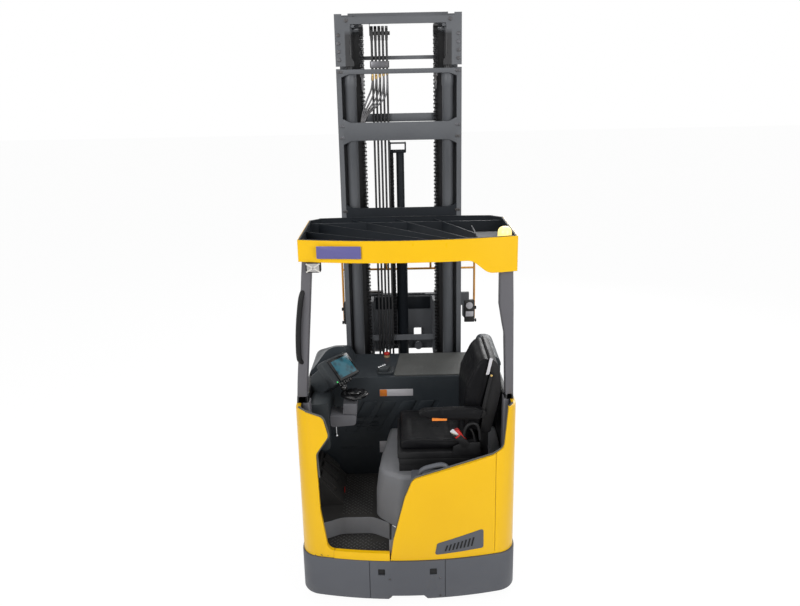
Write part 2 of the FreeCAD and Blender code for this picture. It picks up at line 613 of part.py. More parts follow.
def make_middle_mast():
    section = [
        (MIDDLE_OUT, MIDDLE_BACK, 0), (MIDDLE_OUT, MIDDLE_BACK + WEB, 0),
        (MIDDLE_WEB_OUT, MIDDLE_BACK + WEB, 0), (MIDDLE_WEB_OUT, MIDDLE_FRONT - WEB, 0),
        (MIDDLE_OUT, MIDDLE_FRONT - WEB, 0), (MIDDLE_OUT, MIDDLE_FRONT, 0),
        (MIDDLE_IN, MIDDLE_FRONT, 0), (MIDDLE_IN, MIDDLE_FRONT - WEB, 0),
        (MIDDLE_WEB_IN, MIDDLE_FRONT - WEB, 0), (MIDDLE_WEB_IN, MIDDLE_BACK + WEB, 0),
        (MIDDLE_IN, MIDDLE_BACK + WEB, 0), (MIDDLE_IN, MIDDLE_BACK, 0),
    ]
    rail = prism(section, "xy", MIDDLE_BOTTOM, MIDDLE_TOP)
    # The head stands over the outer mast and carries the lift rods
    side_plate = box(MAST_HALF_WIDTH - 46, MAST_HALF_WIDTH, MAST_REAR, MAST_REAR + 30, GUSSET_BOTTOM, MIDDLE_TOP)
    cheek = box(MIDDLE_WEB_OUT, MIDDLE_OUT, MAST_REAR + 30, MIDDLE_BACK, GUSSET_BOTTOM + 60, MIDDLE_TOP - 20)
    gusset = prism([(MAST_HALF_WIDTH - 46, HEAD_BOTTOM, 0), (MAST_HALF_WIDTH - 100, HEAD_BOTTOM, 0),
                    (MAST_HALF_WIDTH - 88, 3180, 0), (MAST_HALF_WIDTH - 118, 3140, 0),
                    (MAST_HALF_WIDTH - 118, GUSSET_BOTTOM, 0), (MAST_HALF_WIDTH - 46, GUSSET_BOTTOM, 0)],
                   "xz", MAST_REAR, MAST_REAR + FLANGE)
    lift_rod = disc_z(LIFT_CYLINDER_X, LIFT_CYLINDER_Y, OUTER_BOTTOM + 70, HEAD_BOTTOM, LIFT_ROD_DIAMETER)
    rod_seat = box(LIFT_CYLINDER_X - 35, MIDDLE_WEB_OUT + 20, MAST_REAR + FLANGE, MIDDLE_BACK + 1,
                   HEAD_BOTTOM - 20, HEAD_BOTTOM + 20)
    roller = disc_x(MIDDLE_WEB_OUT, MIDDLE_OUT, STAGE_MIDDLE_Y, MIDDLE_BOTTOM + 80,
                    OUTER_CHANNEL_FRONT - OUTER_CHANNEL_BACK - 2 * FLANGE - 2 * ROLLER_GAP)
    sheave = disc_x(CHAIN_X - CHAIN_WIDTH / 2, CHAIN_X + CHAIN_WIDTH / 2, CHAIN_SHEAVE_Y, CHAIN_SHEAVE_Z, CHAIN_SHEAVE)
    axle = disc_x(CHAIN_X, MIDDLE_WEB_OUT, CHAIN_SHEAVE_Y, CHAIN_SHEAVE_Z, 24)
    half = join([rail, side_plate, cheek, gusset, lift_rod, rod_seat, roller, sheave, axle])
    head = box(-MAST_HALF_WIDTH + 46, MAST_HALF_WIDTH - 46, MAST_REAR, MAST_REAR + 40, HEAD_BOTTOM, HEAD_TOP)
    foot = box(-MIDDLE_WEB_IN, MIDDLE_WEB_IN, MIDDLE_BACK, MIDDLE_BACK + WEB, MIDDLE_BOTTOM, MIDDLE_BOTTOM + 120)
    return join(both_sides(half) + [head, foot])


# Cross ties of the inner mast: (bottom, top)
INNER_TIES = [(3150.0, 3174.0), (2765.0, 2805.0), (1200.0, 1240.0), (INNER_BOTTOM, 260.0), (3400.0, INNER_TOP)]


def make_inner_mast():
    section = [
        (INNER_OUT, INNER_BACK, 0), (INNER_OUT, INNER_FRONT, 0), (INBOARD_EDGE, INNER_FRONT, 0),
        (INBOARD_EDGE, INNER_FRONT - WEB, 0), (INNER_OUT - WEB, INNER_FRONT - WEB, 0),
        (INNER_OUT - WEB, INNER_BACK + WEB, 0), (INBOARD_EDGE, INNER_BACK + WEB, 0),
        (INBOARD_EDGE, INNER_BACK, 0),
    ]
    rail = prism(section, "xy", INNER_BOTTOM, INNER_TOP)
    ties = []
    for low, high in INNER_TIES:
        ties.append(box(-INBOARD_EDGE, INBOARD_EDGE, INNER_BACK, INNER_BACK + WEB, low, high))
    shelf = box(FREE_LIFT_X - 70, FREE_LIFT_X + 70, INNER_BACK + WEB, INNER_FRONT - WEB, INNER_BOTTOM,
                INNER_BOTTOM + 20)
    roller = disc_x(INNER_OUT - WEB, INNER_OUT + STAGE_GAP - ROLLER_GAP, STAGE_MIDDLE_Y, INNER_BOTTOM + 70,
                    MIDDLE_FRONT - MIDDLE_BACK - 2 * WEB - 2 * ROLLER_GAP)
    return join(both_sides(join([rail, roller])) + ties + [shelf])


CYLINDER_Y = INNER_BACK + WEB + FREE_LIFT_DIAMETER / 2 + 1


def make_free_lift_cylinder():
    foot = INNER_BOTTOM + 20
    barrel = disc_z(FREE_LIFT_X, CYLINDER_Y, foot, FREE_LIFT_BARREL_TOP, FREE_LIFT_DIAMETER)
    bore = disc_z(FREE_LIFT_X, CYLINDER_Y, foot + 30, FREE_LIFT_BARREL_TOP + 1, FREE_LIFT_ROD + 1)
    return barrel.cut(bore)


def make_free_lift_head():
    head_bottom = FREE_LIFT_HEAD_TOP - 60
    lift_rod = disc_z(FREE_LIFT_X, CYLINDER_Y, 700, head_bottom, FREE_LIFT_ROD)
    block = box(FREE_LIFT_X - 63, FREE_LIFT_X + 63, CYLINDER_Y - 30, CYLINDER_Y + 30, head_bottom, FREE_LIFT_HEAD_TOP)
    pulley = disc_x(FREE_LIFT_X - 20, FREE_LIFT_X + 20, CYLINDER_Y + 36, FREE_LIFT_HEAD_TOP - 40, 76)
    return join([lift_rod, block, pulley])


# Fork carriage: lift plate with rollers, tilting frame, side shift frame, forks and backrest
KNUCKLE = 28.0
TILT_PIN = 14.0
LIFT_KNUCKLE = (110.0, 150.0)
TILT_KNUCKLES = [(72.0, 104.0), (156.0, 188.0)]
TILT_CYLINDER_Z = CARRIAGE_BOTTOM + 33.0
TILT_CYLINDER_X = 110.0
TILT_BARREL = 58.0
TILT_BARREL_REAR = CARRIAGE_BACK - 40.0
CARRIAGE_ROLLERS = [CARRIAGE_BOTTOM + 40, CARRIAGE_TOP - 40]
CARRIAGE_ROLLER_DIAMETER = INNER_FRONT - INNER_BACK - 2 * WEB - 2 * ROLLER_GAP
ARM_OUT = INBOARD_EDGE - RUN_GAP
ARM_IN = ARM_OUT - 20


def make_lift_carriage():
    roller_y = (INNER_BACK + INNER_FRONT) / 2
    arm = box(ARM_IN, ARM_OUT, roller_y - 30, CARRIAGE_BACK + LIFT_PLATE, CARRIAGE_BOTTOM, CARRIAGE_TOP)
    pieces = [arm]
    for z in CARRIAGE_ROLLERS:
        pieces.append(disc_x(ARM_OUT, INNER_OUT - WEB - ROLLER_GAP, roller_y, z, 30))
        pieces.append(disc_x(ARM_OUT + 20, INNER_OUT - WEB - ROLLER_GAP, roller_y, z, CARRIAGE_ROLLER_DIAMETER))
    plates = []
    for low, high in [(CARRIAGE_TOP - 100, CARRIAGE_TOP), (CARRIAGE_BOTTOM, CARRIAGE_BOTTOM + 66)]:
        plates.append(box(-ARM_OUT - 60, ARM_OUT + 60, CARRIAGE_BACK, CARRIAGE_BACK + LIFT_PLATE, low, high))
    knuckle = disc_x(*LIFT_KNUCKLE, TILT_AXIS_Y, TILT_AXIS_Z, KNUCKLE)
    ear = box(*LIFT_KNUCKLE, CARRIAGE_BACK, TILT_AXIS_Y, TILT_AXIS_Z - KNUCKLE / 2, TILT_AXIS_Z + KNUCKLE / 2)
    pin = disc_x(LIFT_KNUCKLE[0] - 50, LIFT_KNUCKLE[1] + 50, TILT_AXIS_Y, TILT_AXIS_Z, TILT_PIN)
    half = join(pieces + [knuckle, ear, pin])
    x = TILT_CYLINDER_X
    tilt_barrel = rod((x, TILT_BARREL_REAR, TILT_CYLINDER_Z), (x, TILT_BACK - 18, TILT_CYLINDER_Z), TILT_BARREL)
    tilt_bore = rod((x, TILT_BARREL_REAR + 8, TILT_CYLINDER_Z), (x, TILT_BACK, TILT_CYLINDER_Z), TILT_BARREL - 16)
    whole = join(both_sides(half) + plates + both_sides(tilt_barrel))
    return whole.cut(group(both_sides(tilt_bore)))


def make_tilt_frame():
    bars = []
    for low, high in [(CARRIAGE_TOP - 90, CARRIAGE_TOP - 20), (CARRIAGE_BOTTOM + 6, CARRIAGE_BOTTOM + 66)]:
        bars.append(box(-ARM_OUT - 90, ARM_OUT + 90, TILT_BACK, TILT_BACK + TILT_PLATE, low, high))
    post = box(140, 220, TILT_BACK, TILT_BACK + TILT_PLATE, CARRIAGE_BOTTOM + 6, CARRIAGE_TOP - 20)
    pieces = bars + both_sides(post)
    for x0, x1 in TILT_KNUCKLES:
        knuckle = disc_x(x0, x1, TILT_AXIS_Y, TILT_AXIS_Z, KNUCKLE)
        ear = box(x0, x1, TILT_AXIS_Y, TILT_BACK + 1, TILT_AXIS_Z - KNUCKLE / 2, TILT_AXIS_Z + KNUCKLE / 2)
        bore = disc_x(x0 - 1, x1 + 1, TILT_AXIS_Y, TILT_AXIS_Z, TILT_PIN + 2 * HUB_GAP)
        pieces += both_sides(join([knuckle, ear]).cut(bore))
    plunger = rod((TILT_CYLINDER_X, TILT_BARREL_REAR + 27, TILT_CYLINDER_Z),
                  (TILT_CYLINDER_X, TILT_BACK + 1, TILT_CYLINDER_Z), TILT_BARREL - 30)
    return join(pieces + both_sides(plunger))


SHIFT_COLUMN_WIDTH = 50.0
SHIFT_COLUMNS = [-LOW_BAR_HALF, -140.0, 90.0, LOW_BAR_HALF - SHIFT_COLUMN_WIDTH]


def make_shift_frame():
    front = SHIFT_BACK + SHIFT_PLATE
    top_bar = box(SIDE_SHIFT - TOP_BAR_HALF + 40, SIDE_SHIFT + TOP_BAR_HALF - 40, SHIFT_BACK, front,
                  CARRIAGE_TOP - 100, CARRIAGE_TOP)
    low_bar = box(SIDE_SHIFT - LOW_BAR_HALF, SIDE_SHIFT + LOW_BAR_HALF, SHIFT_BACK, front,
                  CARRIAGE_BOTTOM, CARRIAGE_BOTTOM + 76)
    pieces = [top_bar, low_bar]
    for x in SHIFT_COLUMNS:
        left = x + SIDE_SHIFT
        pieces.append(box(left, left + SHIFT_COLUMN_WIDTH, SHIFT_BACK, front, CARRIAGE_BOTTOM, CARRIAGE_TOP))
    for x in (SIDE_SHIFT - 200, SIDE_SHIFT + 120):
        pieces.append(box(x, x + 80, TILT_BACK + 2, SHIFT_BACK + 1, CARRIAGE_TOP - 20 + PANEL_GAP, CARRIAGE_TOP))
    # Wings at the ends of the top bar carry the backrest
    for side in (-1, 1):
        far = SIDE_SHIFT + side * TOP_BAR_HALF
        near = SIDE_SHIFT + side * (TOP_BAR_HALF - 90)
        wing = prism([(near, WING_BOTTOM + 50, 10), (near, CARRIAGE_TOP - 60, 0), (far, CARRIAGE_TOP - 60, 10),
                      (far, WING_BOTTOM, 25), ((near + far) / 2, WING_BOTTOM, 25)], "xz", SHIFT_BACK, front)
        pieces.append(wing)
    return join(pieces)


FORK_BOTTOM = CARRIAGE_BOTTOM - FORK_DROP


def make_forks():
    forks = []
    blade_top = FORK_BOTTOM + FORK_THICKNESS
    tip = FORK_FACE + FORK_LENGTH
    side = [(FORK_BACK, FORK_BOTTOM, 60), (FORK_BACK, CARRIAGE_TOP + 10, 0), (FORK_FACE, CARRIAGE_TOP + 10, 0),
            (FORK_FACE, blade_top, 20), (tip, blade_top, 0), (tip, blade_top - 12, 4),
            (tip - 450, FORK_BOTTOM, 0)]
    for x in (-FORK_SPREAD, FORK_SPREAD):
        middle = x + SIDE_SHIFT
        fork = prism(side, "yz", middle - FORK_WIDTH / 2, middle + FORK_WIDTH / 2)
        # The tips narrow in plan
        plan = [(middle - FORK_WIDTH / 2, 0, 0), (middle - FORK_WIDTH / 2, tip - 120, 60), (middle - 30, tip, 20),
                (middle + 30, tip, 20), (middle + FORK_WIDTH / 2, tip - 120, 60), (middle + FORK_WIDTH / 2, 0, 0)]
        forks.append(fork.common(prism(plan, "xy", 0, 3000)))
    return group(forks)


BACKREST_COLUMNS = [-BACKREST_HALF, -165.0, 165.0, BACKREST_HALF]
BACKREST_RAILS = [1670.0, BACKREST_TOP]


def make_backrest():
    y = FORK_BACK + BACKREST_TUBE / 2 + PANEL_GAP
    pieces = []
    for x in BACKREST_COLUMNS:
        start = CARRIAGE_TOP - 50 if abs(x) < BACKREST_HALF else WING_BOTTOM + 20
        end = BACKREST_TOP + BACKREST_TUBE / 2
        pieces.append(rod((x + SIDE_SHIFT, y, start), (x + SIDE_SHIFT, y, end), BACKREST_TUBE))
    for z in BACKREST_RAILS:
        pieces.append(rod((SIDE_SHIFT - BACKREST_HALF, y, z), (SIDE_SHIFT + BACKREST_HALF, y, z), BACKREST_TUBE))
    return join(pieces)


# Overhead guard
def guard_plan(inset, z0, z1):
    left = GUARD_LEFT + inset
    right = GUARD_RIGHT - inset
    middle = (GUARD_LEFT + GUARD_RIGHT) / 2
    near_end = GUARD_NEAR + GUARD_BOW + inset
    far_end = GUARD_FAR - 20 - inset
    edges = [
        Part.Arc(Vector(left, near_end, z0), Vector(middle, GUARD_NEAR + inset, z0),
                 Vector(right, near_end, z0)).toShape(),
        Part.LineSegment(Vector(right, near_end, z0), Vector(right, far_end - 60, z0)).toShape(),
        Part.LineSegment(Vector(right, far_end - 60, z0), Vector(right - 60, far_end, z0)).toShape(),
        Part.Arc(Vector(right - 60, far_end, z0), Vector(middle, GUARD_FAR - inset, z0),
                 Vector(left + 60, far_end, z0)).toShape(),
        Part.LineSegment(Vector(left + 60, far_end, z0), Vector(left, far_end - 60, z0)).toShape(),
        Part.LineSegment(Vector(left, far_end - 60, z0), Vector(left, near_end, z0)).toShape(),
    ]
    return Part.Face(Part.Wire(edges)).extrude(Vector(0, 0, z1 - z0))


GUARD_LOW = GUARD_TOP - GUARD_BAND
GUARD_DROP = 75.0


def make_guard_band():
    low = GUARD_LOW - GUARD_DROP
    ring = guard_plan(0, low, GUARD_TOP).cut(guard_plan(GUARD_WALL, low - 1, GUARD_TOP + 1))
    under = [(GUARD_LEFT - 50, low - 1, 0), (GUARD_LEFT - 50, GUARD_LOW, 0), (GUARD_RIGHT - 252, GUARD_LOW, 80),
             (GUARD_RIGHT - 162, low, 80), (GUARD_RIGHT + 50, low, 0), (GUARD_RIGHT + 50, low - 1, 0)]
    near_cut = prism(under, "xz", 0, GUARD_FAR / 2)
    far_cut = box(GUARD_LEFT - 50, GUARD_RIGHT + 50, GUARD_FAR / 2, GUARD_FAR + 50, low - 1, GUARD_LOW)
    band = ring.cut(join([near_cut, far_cut]))
    plates = []
    for post, level in ((LEFT_POST, GUARD_LOW), (RIGHT_POST, low)):
        x0, x1 = post["head"]
        plates.append(box(x0 - 8, x1 + 8, GUARD_NEAR, POST_REAR + POST_DEPTH + 8, level, level + 8))
    inside = guard_plan(GUARD_WALL / 2, low - 1, GUARD_TOP)
    return join([band] + [plate.common(inside) for plate in plates])


SLAT_HEIGHT = 60.0
SLAT_WALL = 8.0
SLAT_TOP = GUARD_TOP - 12.0
SLAT_PITCH = 190.0
SLAT_LEAN = 440.0


def make_guard_slats():
    inside = guard_plan(GUARD_WALL + PANEL_GAP, SLAT_TOP - SLAT_HEIGHT, SLAT_TOP)
    slats = []
    x = GUARD_LEFT - SLAT_LEAN + SLAT_PITCH
    while x < GUARD_RIGHT:
        plan = [(x, GUARD_FAR, 0), (x + SLAT_WALL, GUARD_FAR, 0), (x + SLAT_WALL + SLAT_LEAN, GUARD_NEAR, 0),
                (x + SLAT_LEAN, GUARD_NEAR, 0)]
        slats.append(prism(plan, "xy", SLAT_TOP - SLAT_HEIGHT, SLAT_TOP).common(inside))
        x += SLAT_PITCH
    cross = box(GUARD_LEFT, GUARD_RIGHT, GUARD_FAR - 130, GUARD_FAR - 118, SLAT_TOP - SLAT_HEIGHT, SLAT_TOP)
    deck = box(GUARD_RIGHT - 192, GUARD_RIGHT, GUARD_NEAR, GUARD_NEAR + 204, SLAT_TOP - 8, SLAT_TOP).common(inside)
    return join(slats + [cross.common(inside), deck])


# Rear posts: (x_left, x_right) at the foot and under the guard
POST_FOOT = 1190.0
POST_REAR = 215.0
POST_DEPTH = 75.0
POST_FOOT_WIDTH = 40.0
POST_OUT = HALF_WIDTH - PANEL_INNER - PANEL_GAP
LEFT_POST = {"foot": (-POST_OUT, POST_FOOT_WIDTH - POST_OUT), "head": (GUARD_LEFT + 15, GUARD_LEFT + 67)}
RIGHT_POST = {"foot": (POST_OUT - POST_FOOT_WIDTH, POST_OUT), "head": (GUARD_RIGHT - 95, GUARD_RIGHT - 18)}


def make_post(post, head_z):
    sections = []
    for level, ends in ((POST_FOOT - 300, post["foot"]), (POST_FOOT + 250, post["foot"]), (head_z, post["head"])):
        x0, x1 = ends
        corners = [(x0, POST_REAR, 8), (x1, POST_REAR, 8), (x1, POST_REAR + POST_DEPTH, 8),
                   (x0, POST_REAR + POST_DEPTH, 8)]
        sections.append((level, corners))
    low = loft(sections[:2], "xy")
    high = loft(sections[1:], "xy")
    return join([low, high])


GRIP_DIAMETER = 26.0
GRIP_POINTS = [(44, 30, 1925), (12, -8, 1862), (-12, -8, 1700), (-16, -8, 1560), (14, 30, 1500)]


def make_left_post():
    x = LEFT_POST["foot"][0]
    points = [(x + dx, POST_REAR + dy, z) for dx, dy, z in GRIP_POINTS]
    return join([make_post(LEFT_POST, GUARD_LOW), bent_bar(points, GRIP_DIAMETER)])


def make_right_post():
    return make_post(RIGHT_POST, GUARD_LOW - GUARD_DROP)


# Seat, facing left. Profiles are (x, z, radius) from the middle of the seat's back edge.
SEAT_X = HALF_WIDTH - 195.0
SEAT_Y0 = 225.0
SEAT_Y1 = 690.0
SEAT_PAN_TOP = PEDESTAL_TOP + 122.0
SEAT_PAN_LENGTH = 485.0
CUSHION_PROFILE = [(-490, 0, 20), (-490, 83, 35), (-140, 63, 60), (-20, 78, 20), (-10, 0, 20)]
BACK_PROFILE = [(-150, 98, 30), (-105, 508, 200), (-20, 634, 60), (80, 608, 60), (116, 438, 100), (50, 108, 30)]
ARMREST_PROFILE = [(-380, 273, 30), (-340, 313, 30), (10, 308, 20), (10, 238, 20), (-310, 238, 60)]
BELT_PROFILE = [(-170, 138, 8), (-140, 153, 8), (-80, 63, 8), (-110, 43, 8)]
ARMREST_WIDTH = 65.0


def seat_profile(rows):
    return [(SEAT_X + x, SEAT_PAN_TOP + z, r) for x, z, r in rows]


def make_seat_base():
    pan = box(SEAT_X - SEAT_PAN_LENGTH, SEAT_X, SEAT_Y0, SEAT_Y1, PEDESTAL_TOP, SEAT_PAN_TOP)
    bracket = box(SEAT_X - 5, SEAT_X + 42, SEAT_Y0 + 35, SEAT_Y1 - 35, PEDESTAL_TOP + 50, SEAT_PAN_TOP + 115)
    return join([pan, bracket]).cut(prism(seat_profile(BACK_PROFILE), "xz", SEAT_Y0, SEAT_Y1))


def make_seat_cushion():
    return prism([(x, z + PANEL_GAP, r) for x, z, r in seat_profile(CUSHION_PROFILE)], "xz", SEAT_Y0, SEAT_Y1)


def make_seat_back():
    return prism([(x, z + PANEL_GAP, r) for x, z, r in seat_profile(BACK_PROFILE)], "xz", SEAT_Y0 + 10, SEAT_Y1 - 10)


def make_armrest():
    pad = prism(seat_profile(ARMREST_PROFILE), "xz", SEAT_Y0 - ARMREST_WIDTH, SEAT_Y0)
    bracket = rod((SEAT_X - 40, SEAT_Y0 - 30, SEAT_PAN_TOP + 268), (SEAT_X - 40, SEAT_Y0 + 10 - PANEL_GAP,
                                                                  SEAT_PAN_TOP + 268), 40)
    return join([pad, bracket])


def make_seat_belt():
    return prism(seat_profile(BELT_PROFILE), "xz", SEAT_Y0 - 25, SEAT_Y0 - PANEL_GAP)


def make_grab_handle():
    outer = [(20, 800, 0), (60, 905, 30), (190, 945, 40), (275, 870, 0), (275, 800, 0)]
    inner = [(60, 800, 0), (88, 872, 20), (185, 900, 25), (215, 860, 0), (215, 800, 0)]
    loop = prism(outer, "xz", 30, 92).cut(prism(inner, "xz", 29, 93))
    return loop.common(body_prism(PANEL_INNER + PANEL_GAP, 790, 960, CAB_FRONT))


# Dash on the left, facing the driver
DASH_TURN = 34.0
DASH_TILT = 48.0


def turned(shape, place):
    tilted = shape.copy()
    tilted.rotate(Vector(0, 0, 0), Vector(0, 1, 0), DASH_TILT)
    tilted.rotate(Vector(0, 0, 0), Vector(0, 0, 1), -DASH_TURN)
    tilted.translate(Vector(*place))
    return tilted


DASH_PLACE = (215.0 - HALF_WIDTH, 700.0, 1262.0)


SIDE_CONSOLE_RIGHT = 165.0 - HALF_WIDTH
SIDE_CONSOLE_REAR = 470.0
SIDE_CONSOLE_TOP = 1130.0
SIDE_CONSOLE_BOTTOM = 800.0


def make_dash():
    # The side console carries the column; the dash head stands on it, turned to the driver
    left = PANEL_INNER + PANEL_GAP - HALF_WIDTH
    low = prism([(left, SIDE_CONSOLE_BOTTOM + 60, 0), (left, SIDE_CONSOLE_TOP, 40),
                 (SIDE_CONSOLE_RIGHT, SIDE_CONSOLE_TOP, 20), (SIDE_CONSOLE_RIGHT, SIDE_CONSOLE_BOTTOM, 30)],
                "xz", SIDE_CONSOLE_REAR, CAB_FRONT - PANEL_GAP)
    head = turned(box(-115, 95, -185, 125, -55, -2), DASH_PLACE)
    limit = box(-HALF_WIDTH, 0, 0, CAB_FRONT - PANEL_GAP, 0, 2000)
    inside = body_prism(PANEL_INNER + PANEL_GAP, SIDE_CONSOLE_BOTTOM, 1500, CAB_FRONT)
    return join([low, head]).common(limit).common(inside)


def make_screen():
    return turned(box(-66, 66, -85, 85, PANEL_GAP - 2, 6), DASH_PLACE)


COLUMN_TOP = 1103.0
WHEEL_CENTRE = (317.0 - HALF_WIDTH, 590.0, COLUMN_TOP + 37.0)


def make_column():
    return prism([(SIDE_CONSOLE_RIGHT + PANEL_GAP, 940, 20), (SIDE_CONSOLE_RIGHT + PANEL_GAP, COLUMN_TOP, 0),
                  (WHEEL_CENTRE[0] + 18, COLUMN_TOP, 15), (WHEEL_CENTRE[0] + 11, 940, 20)],
                 "xz", WHEEL_CENTRE[1] - 70, WHEEL_CENTRE[1] + 70)


def make_steering_wheel():
    x, y, z = WHEEL_CENTRE
    rim = Part.makeTorus(72, 14, Vector(x, y, z), Vector(0, 0, 1))
    hub = disc_z(x, y, z - 8, z + 8, 144)
    stem = disc_z(x, y, COLUMN_TOP + PANEL_GAP, z, 40)
    knob = disc_z(x - 62, y, z + 5, z + 48, 34)
    return join([rim, hub, stem, knob])


def make_levers():
    pad = prism([(-160, 870, 20), (-70, 870, 20), (-70, 1010, 20), (-160, 1010, 20)], "xy", HOOD_TOP, HOOD_TOP + 14)
    sticks = [rod((-140 + 18 * i, 900 + 22 * i, HOOD_TOP + 10), (-150 + 18 * i, 895 + 22 * i, HOOD_TOP + 62), 16)
              for i in range(4)]
    return join([pad] + sticks)


def make_stop_button():
    return join([disc_z(-121, 1220, HOOD_TOP, HOOD_TOP + 14, 34), disc_z(-121, 1220, HOOD_TOP + 14, HOOD_TOP + 34, 42)])


PEDAL_BOARD_LEFT = 60.0 - HALF_WIDTH
PEDAL_BOARD_RIGHT = PEDAL_BOARD_LEFT + 175.0
PEDAL_BOARD_TOP = 650.0
PEDAL_PLACES = [470.0, 600.0, 710.0]


def make_pedals():
    foot = FLOOR_TOP
    board = prism([(PEDAL_BOARD_LEFT, foot, 0), (PEDAL_BOARD_LEFT, PEDAL_BOARD_TOP, 0),
                   (PEDAL_BOARD_LEFT + 15, PEDAL_BOARD_TOP, 0), (PEDAL_BOARD_RIGHT, foot + 12, 0),
                   (PEDAL_BOARD_RIGHT, foot, 0)], "xz", 430, 800)
    pads = []
    for y in PEDAL_PLACES:
        x = PEDAL_BOARD_LEFT
        z = PEDAL_BOARD_TOP
        pads.append(prism([(x + 24, z - 20, 0), (x + 42, z - 2, 0), (x + 132, z - 96, 0), (x + 114, z - 112, 0)],
                          "xz", y, y + 70))
    return join([board] + pads)


BEACON_X = GUARD_RIGHT - 66.0
BEACON_Y = GUARD_NEAR + 132.0


def make_beacon():
    base = disc_z(BEACON_X, BEACON_Y, SLAT_TOP, GUARD_TOP + 14, 84)
    lens = Part.makeCone(40, 33, 64, Vector(BEACON_X, BEACON_Y, GUARD_TOP + 14))
    return join([base, lens])


def make_work_lamp():
    top = GUARD_LOW - PANEL_GAP
    left = GUARD_LEFT + 40
    corners = [(left, top - 60, 12), (left, top, 12), (left + 84, top, 12), (left + 84, top - 60, 12)]
    return prism(corners, "xz", POST_REAR - 38, POST_REAR - PANEL_GAP)


def make_vent():
    panel = prism([(236, 362, 18), (244, 415, 18), (498, 480, 18), (498, 372, 18)], "xz", 0, 200)
    skin = body_prism(PANEL_INSET - 3, SKIRT_TOP, PANEL_TOP, 300).cut(
        body_prism(PANEL_INSET, SKIRT_TOP - 1, PANEL_TOP + 1, 301))
    return panel.common(skin)


# Mast chains and hoses, kept as the photograph shows them
def make_mast_chains():
    pulley_reach = CHAIN_SHEAVE / 2 + PANEL_GAP
    chain_reach = pulley_reach + CHAIN_THICKNESS
    x0 = CHAIN_X - CHAIN_WIDTH / 2
    x1 = CHAIN_X + CHAIN_WIDTH / 2
    y = CHAIN_SHEAVE_Y
    outer = disc_x(x0, x1, y, CHAIN_SHEAVE_Z, 2 * chain_reach)
    inner = disc_x(x0 - 1, x1 + 1, y, CHAIN_SHEAVE_Z, 2 * pulley_reach)
    lower = box(x0 - 1, x1 + 1, y - chain_reach - 1, y + chain_reach + 1, 3000, CHAIN_SHEAVE_Z)
    turn = outer.cut(inner).cut(lower)
    front = box(x0, x1, y + pulley_reach, y + chain_reach, CHAIN_FRONT_END, CHAIN_SHEAVE_Z)
    rear = box(x0, x1, y - chain_reach, y - pulley_reach, CHAIN_REAR_END, CHAIN_SHEAVE_Z)
    return group(both_sides(join([turn, front, rear])))


HOSE = 14.0
HOSE_PITCH = 24.0
HOSE_FIRST_X = 68.0 - CHAIN_X
HOSE_COUNT = 5
HOSE_SHEAVE = 76.0
HOSE_SHEAVE_Y = 1381.0
HOSE_SHEAVE_Z = 3312.0
HOSE_END = 300.0


def make_hoses():
    last_x = HOSE_FIRST_X + HOSE_PITCH * (HOSE_COUNT - 1)
    y = HOSE_SHEAVE_Y
    reach = HOSE_SHEAVE / 2
    pieces = [disc_x(HOSE_FIRST_X - 14, last_x + 22, y, HOSE_SHEAVE_Z, 24)]
    for i in range(HOSE_COUNT):
        x = HOSE_FIRST_X + HOSE_PITCH * i
        pieces.append(disc_x(x - 9, x + 9, y, HOSE_SHEAVE_Z, HOSE_SHEAVE + HOSE))
        pieces.append(disc_z(x, y + reach, HOSE_END, HOSE_SHEAVE_Z, HOSE))
        pieces.append(disc_z(x, y - reach, 3085, HOSE_SHEAVE_Z, HOSE))
    pieces.append(box(HOSE_FIRST_X - 14, HOSE_FIRST_X - 10, y - 20, y + 20, HOSE_SHEAVE_Z - 15, HEAD_TOP - 4))
    pieces.append(box(HOSE_FIRST_X - 14, HOSE_FIRST_X + 60, MAST_REAR + 40 + PANEL_GAP, y + 20, HEAD_TOP - 10, HEAD_TOP - 4))
    pieces.append(box(HOSE_FIRST_X - 14, last_x + 14, y - reach - 8, y + reach + 8, 3100, 3140))
    return join(pieces)


PIECES = {
    "chassis_frame": make_chassis,
    "bumper_skirt": make_skirt,
    "left_body_panel": make_left_panel,
    "right_body_panel": make_right_panel,
    "entry_sill": make_sill,
    "cab_floor": make_floor,
    "seat_pedestal": make_pedestal,
    "battery_hood": make_hood,
    "battery_cover": make_battery_cover,
    "battery_block": make_battery,
    "side_doors": make_side_doors,
    "reach_legs": make_legs,
    "drive_yoke": make_drive_yoke,
    "drive_wheel": make_drive_wheel,
    "reach_carriage": make_reach_carriage,
    "reach_cylinder": make_reach_cylinder,
    "outer_mast": make_outer_mast,
    "lift_cylinders": make_lift_cylinders,
    "middle_mast": make_middle_mast,
    "inner_mast": make_inner_mast,
    "free_lift_cylinder": make_free_lift_cylinder,
    "free_lift_head": make_free_lift_head,
    "lift_carriage": make_lift_carriage,
    "tilt_frame": make_tilt_frame,
    "shift_frame": make_shift_frame,
    "fork_arms": make_forks,
    "load_backrest": make_backrest,
    "guard_band": make_guard_band,
    "guard_slats": make_guard_slats,
    "left_post": make_left_post,
    "right_post": make_right_post,
    "seat_base": make_seat_base,
    "seat_cushion": make_seat_cushion,
    "seat_back": make_seat_back,
    "seat_armrest": make_armrest,
    "seat_belt": make_seat_belt,
    "grab_handle": make_grab_handle,
    "dash_console": make_dash,
    "display_screen": make_screen,
    "steering_column": make_column,
    "steering_wheel": make_steering_wheel,
    "control_levers": make_levers,
    "stop_button": make_stop_button,
    "pedal_unit": make_pedals,
    "beacon_lamp": make_beacon,
    "work_lamp": make_work_lamp,
    "vent_grille": make_vent,
    "mast_chains": make_mast_chains,
    "hose_set": make_hoses,
}

for name, make in PIECES.items():
    save(name, make())

right_wheel = make_load_wheel()
save("right_load_wheel", right_wheel)
save("left_load_wheel", mirror_x(right_wheel))
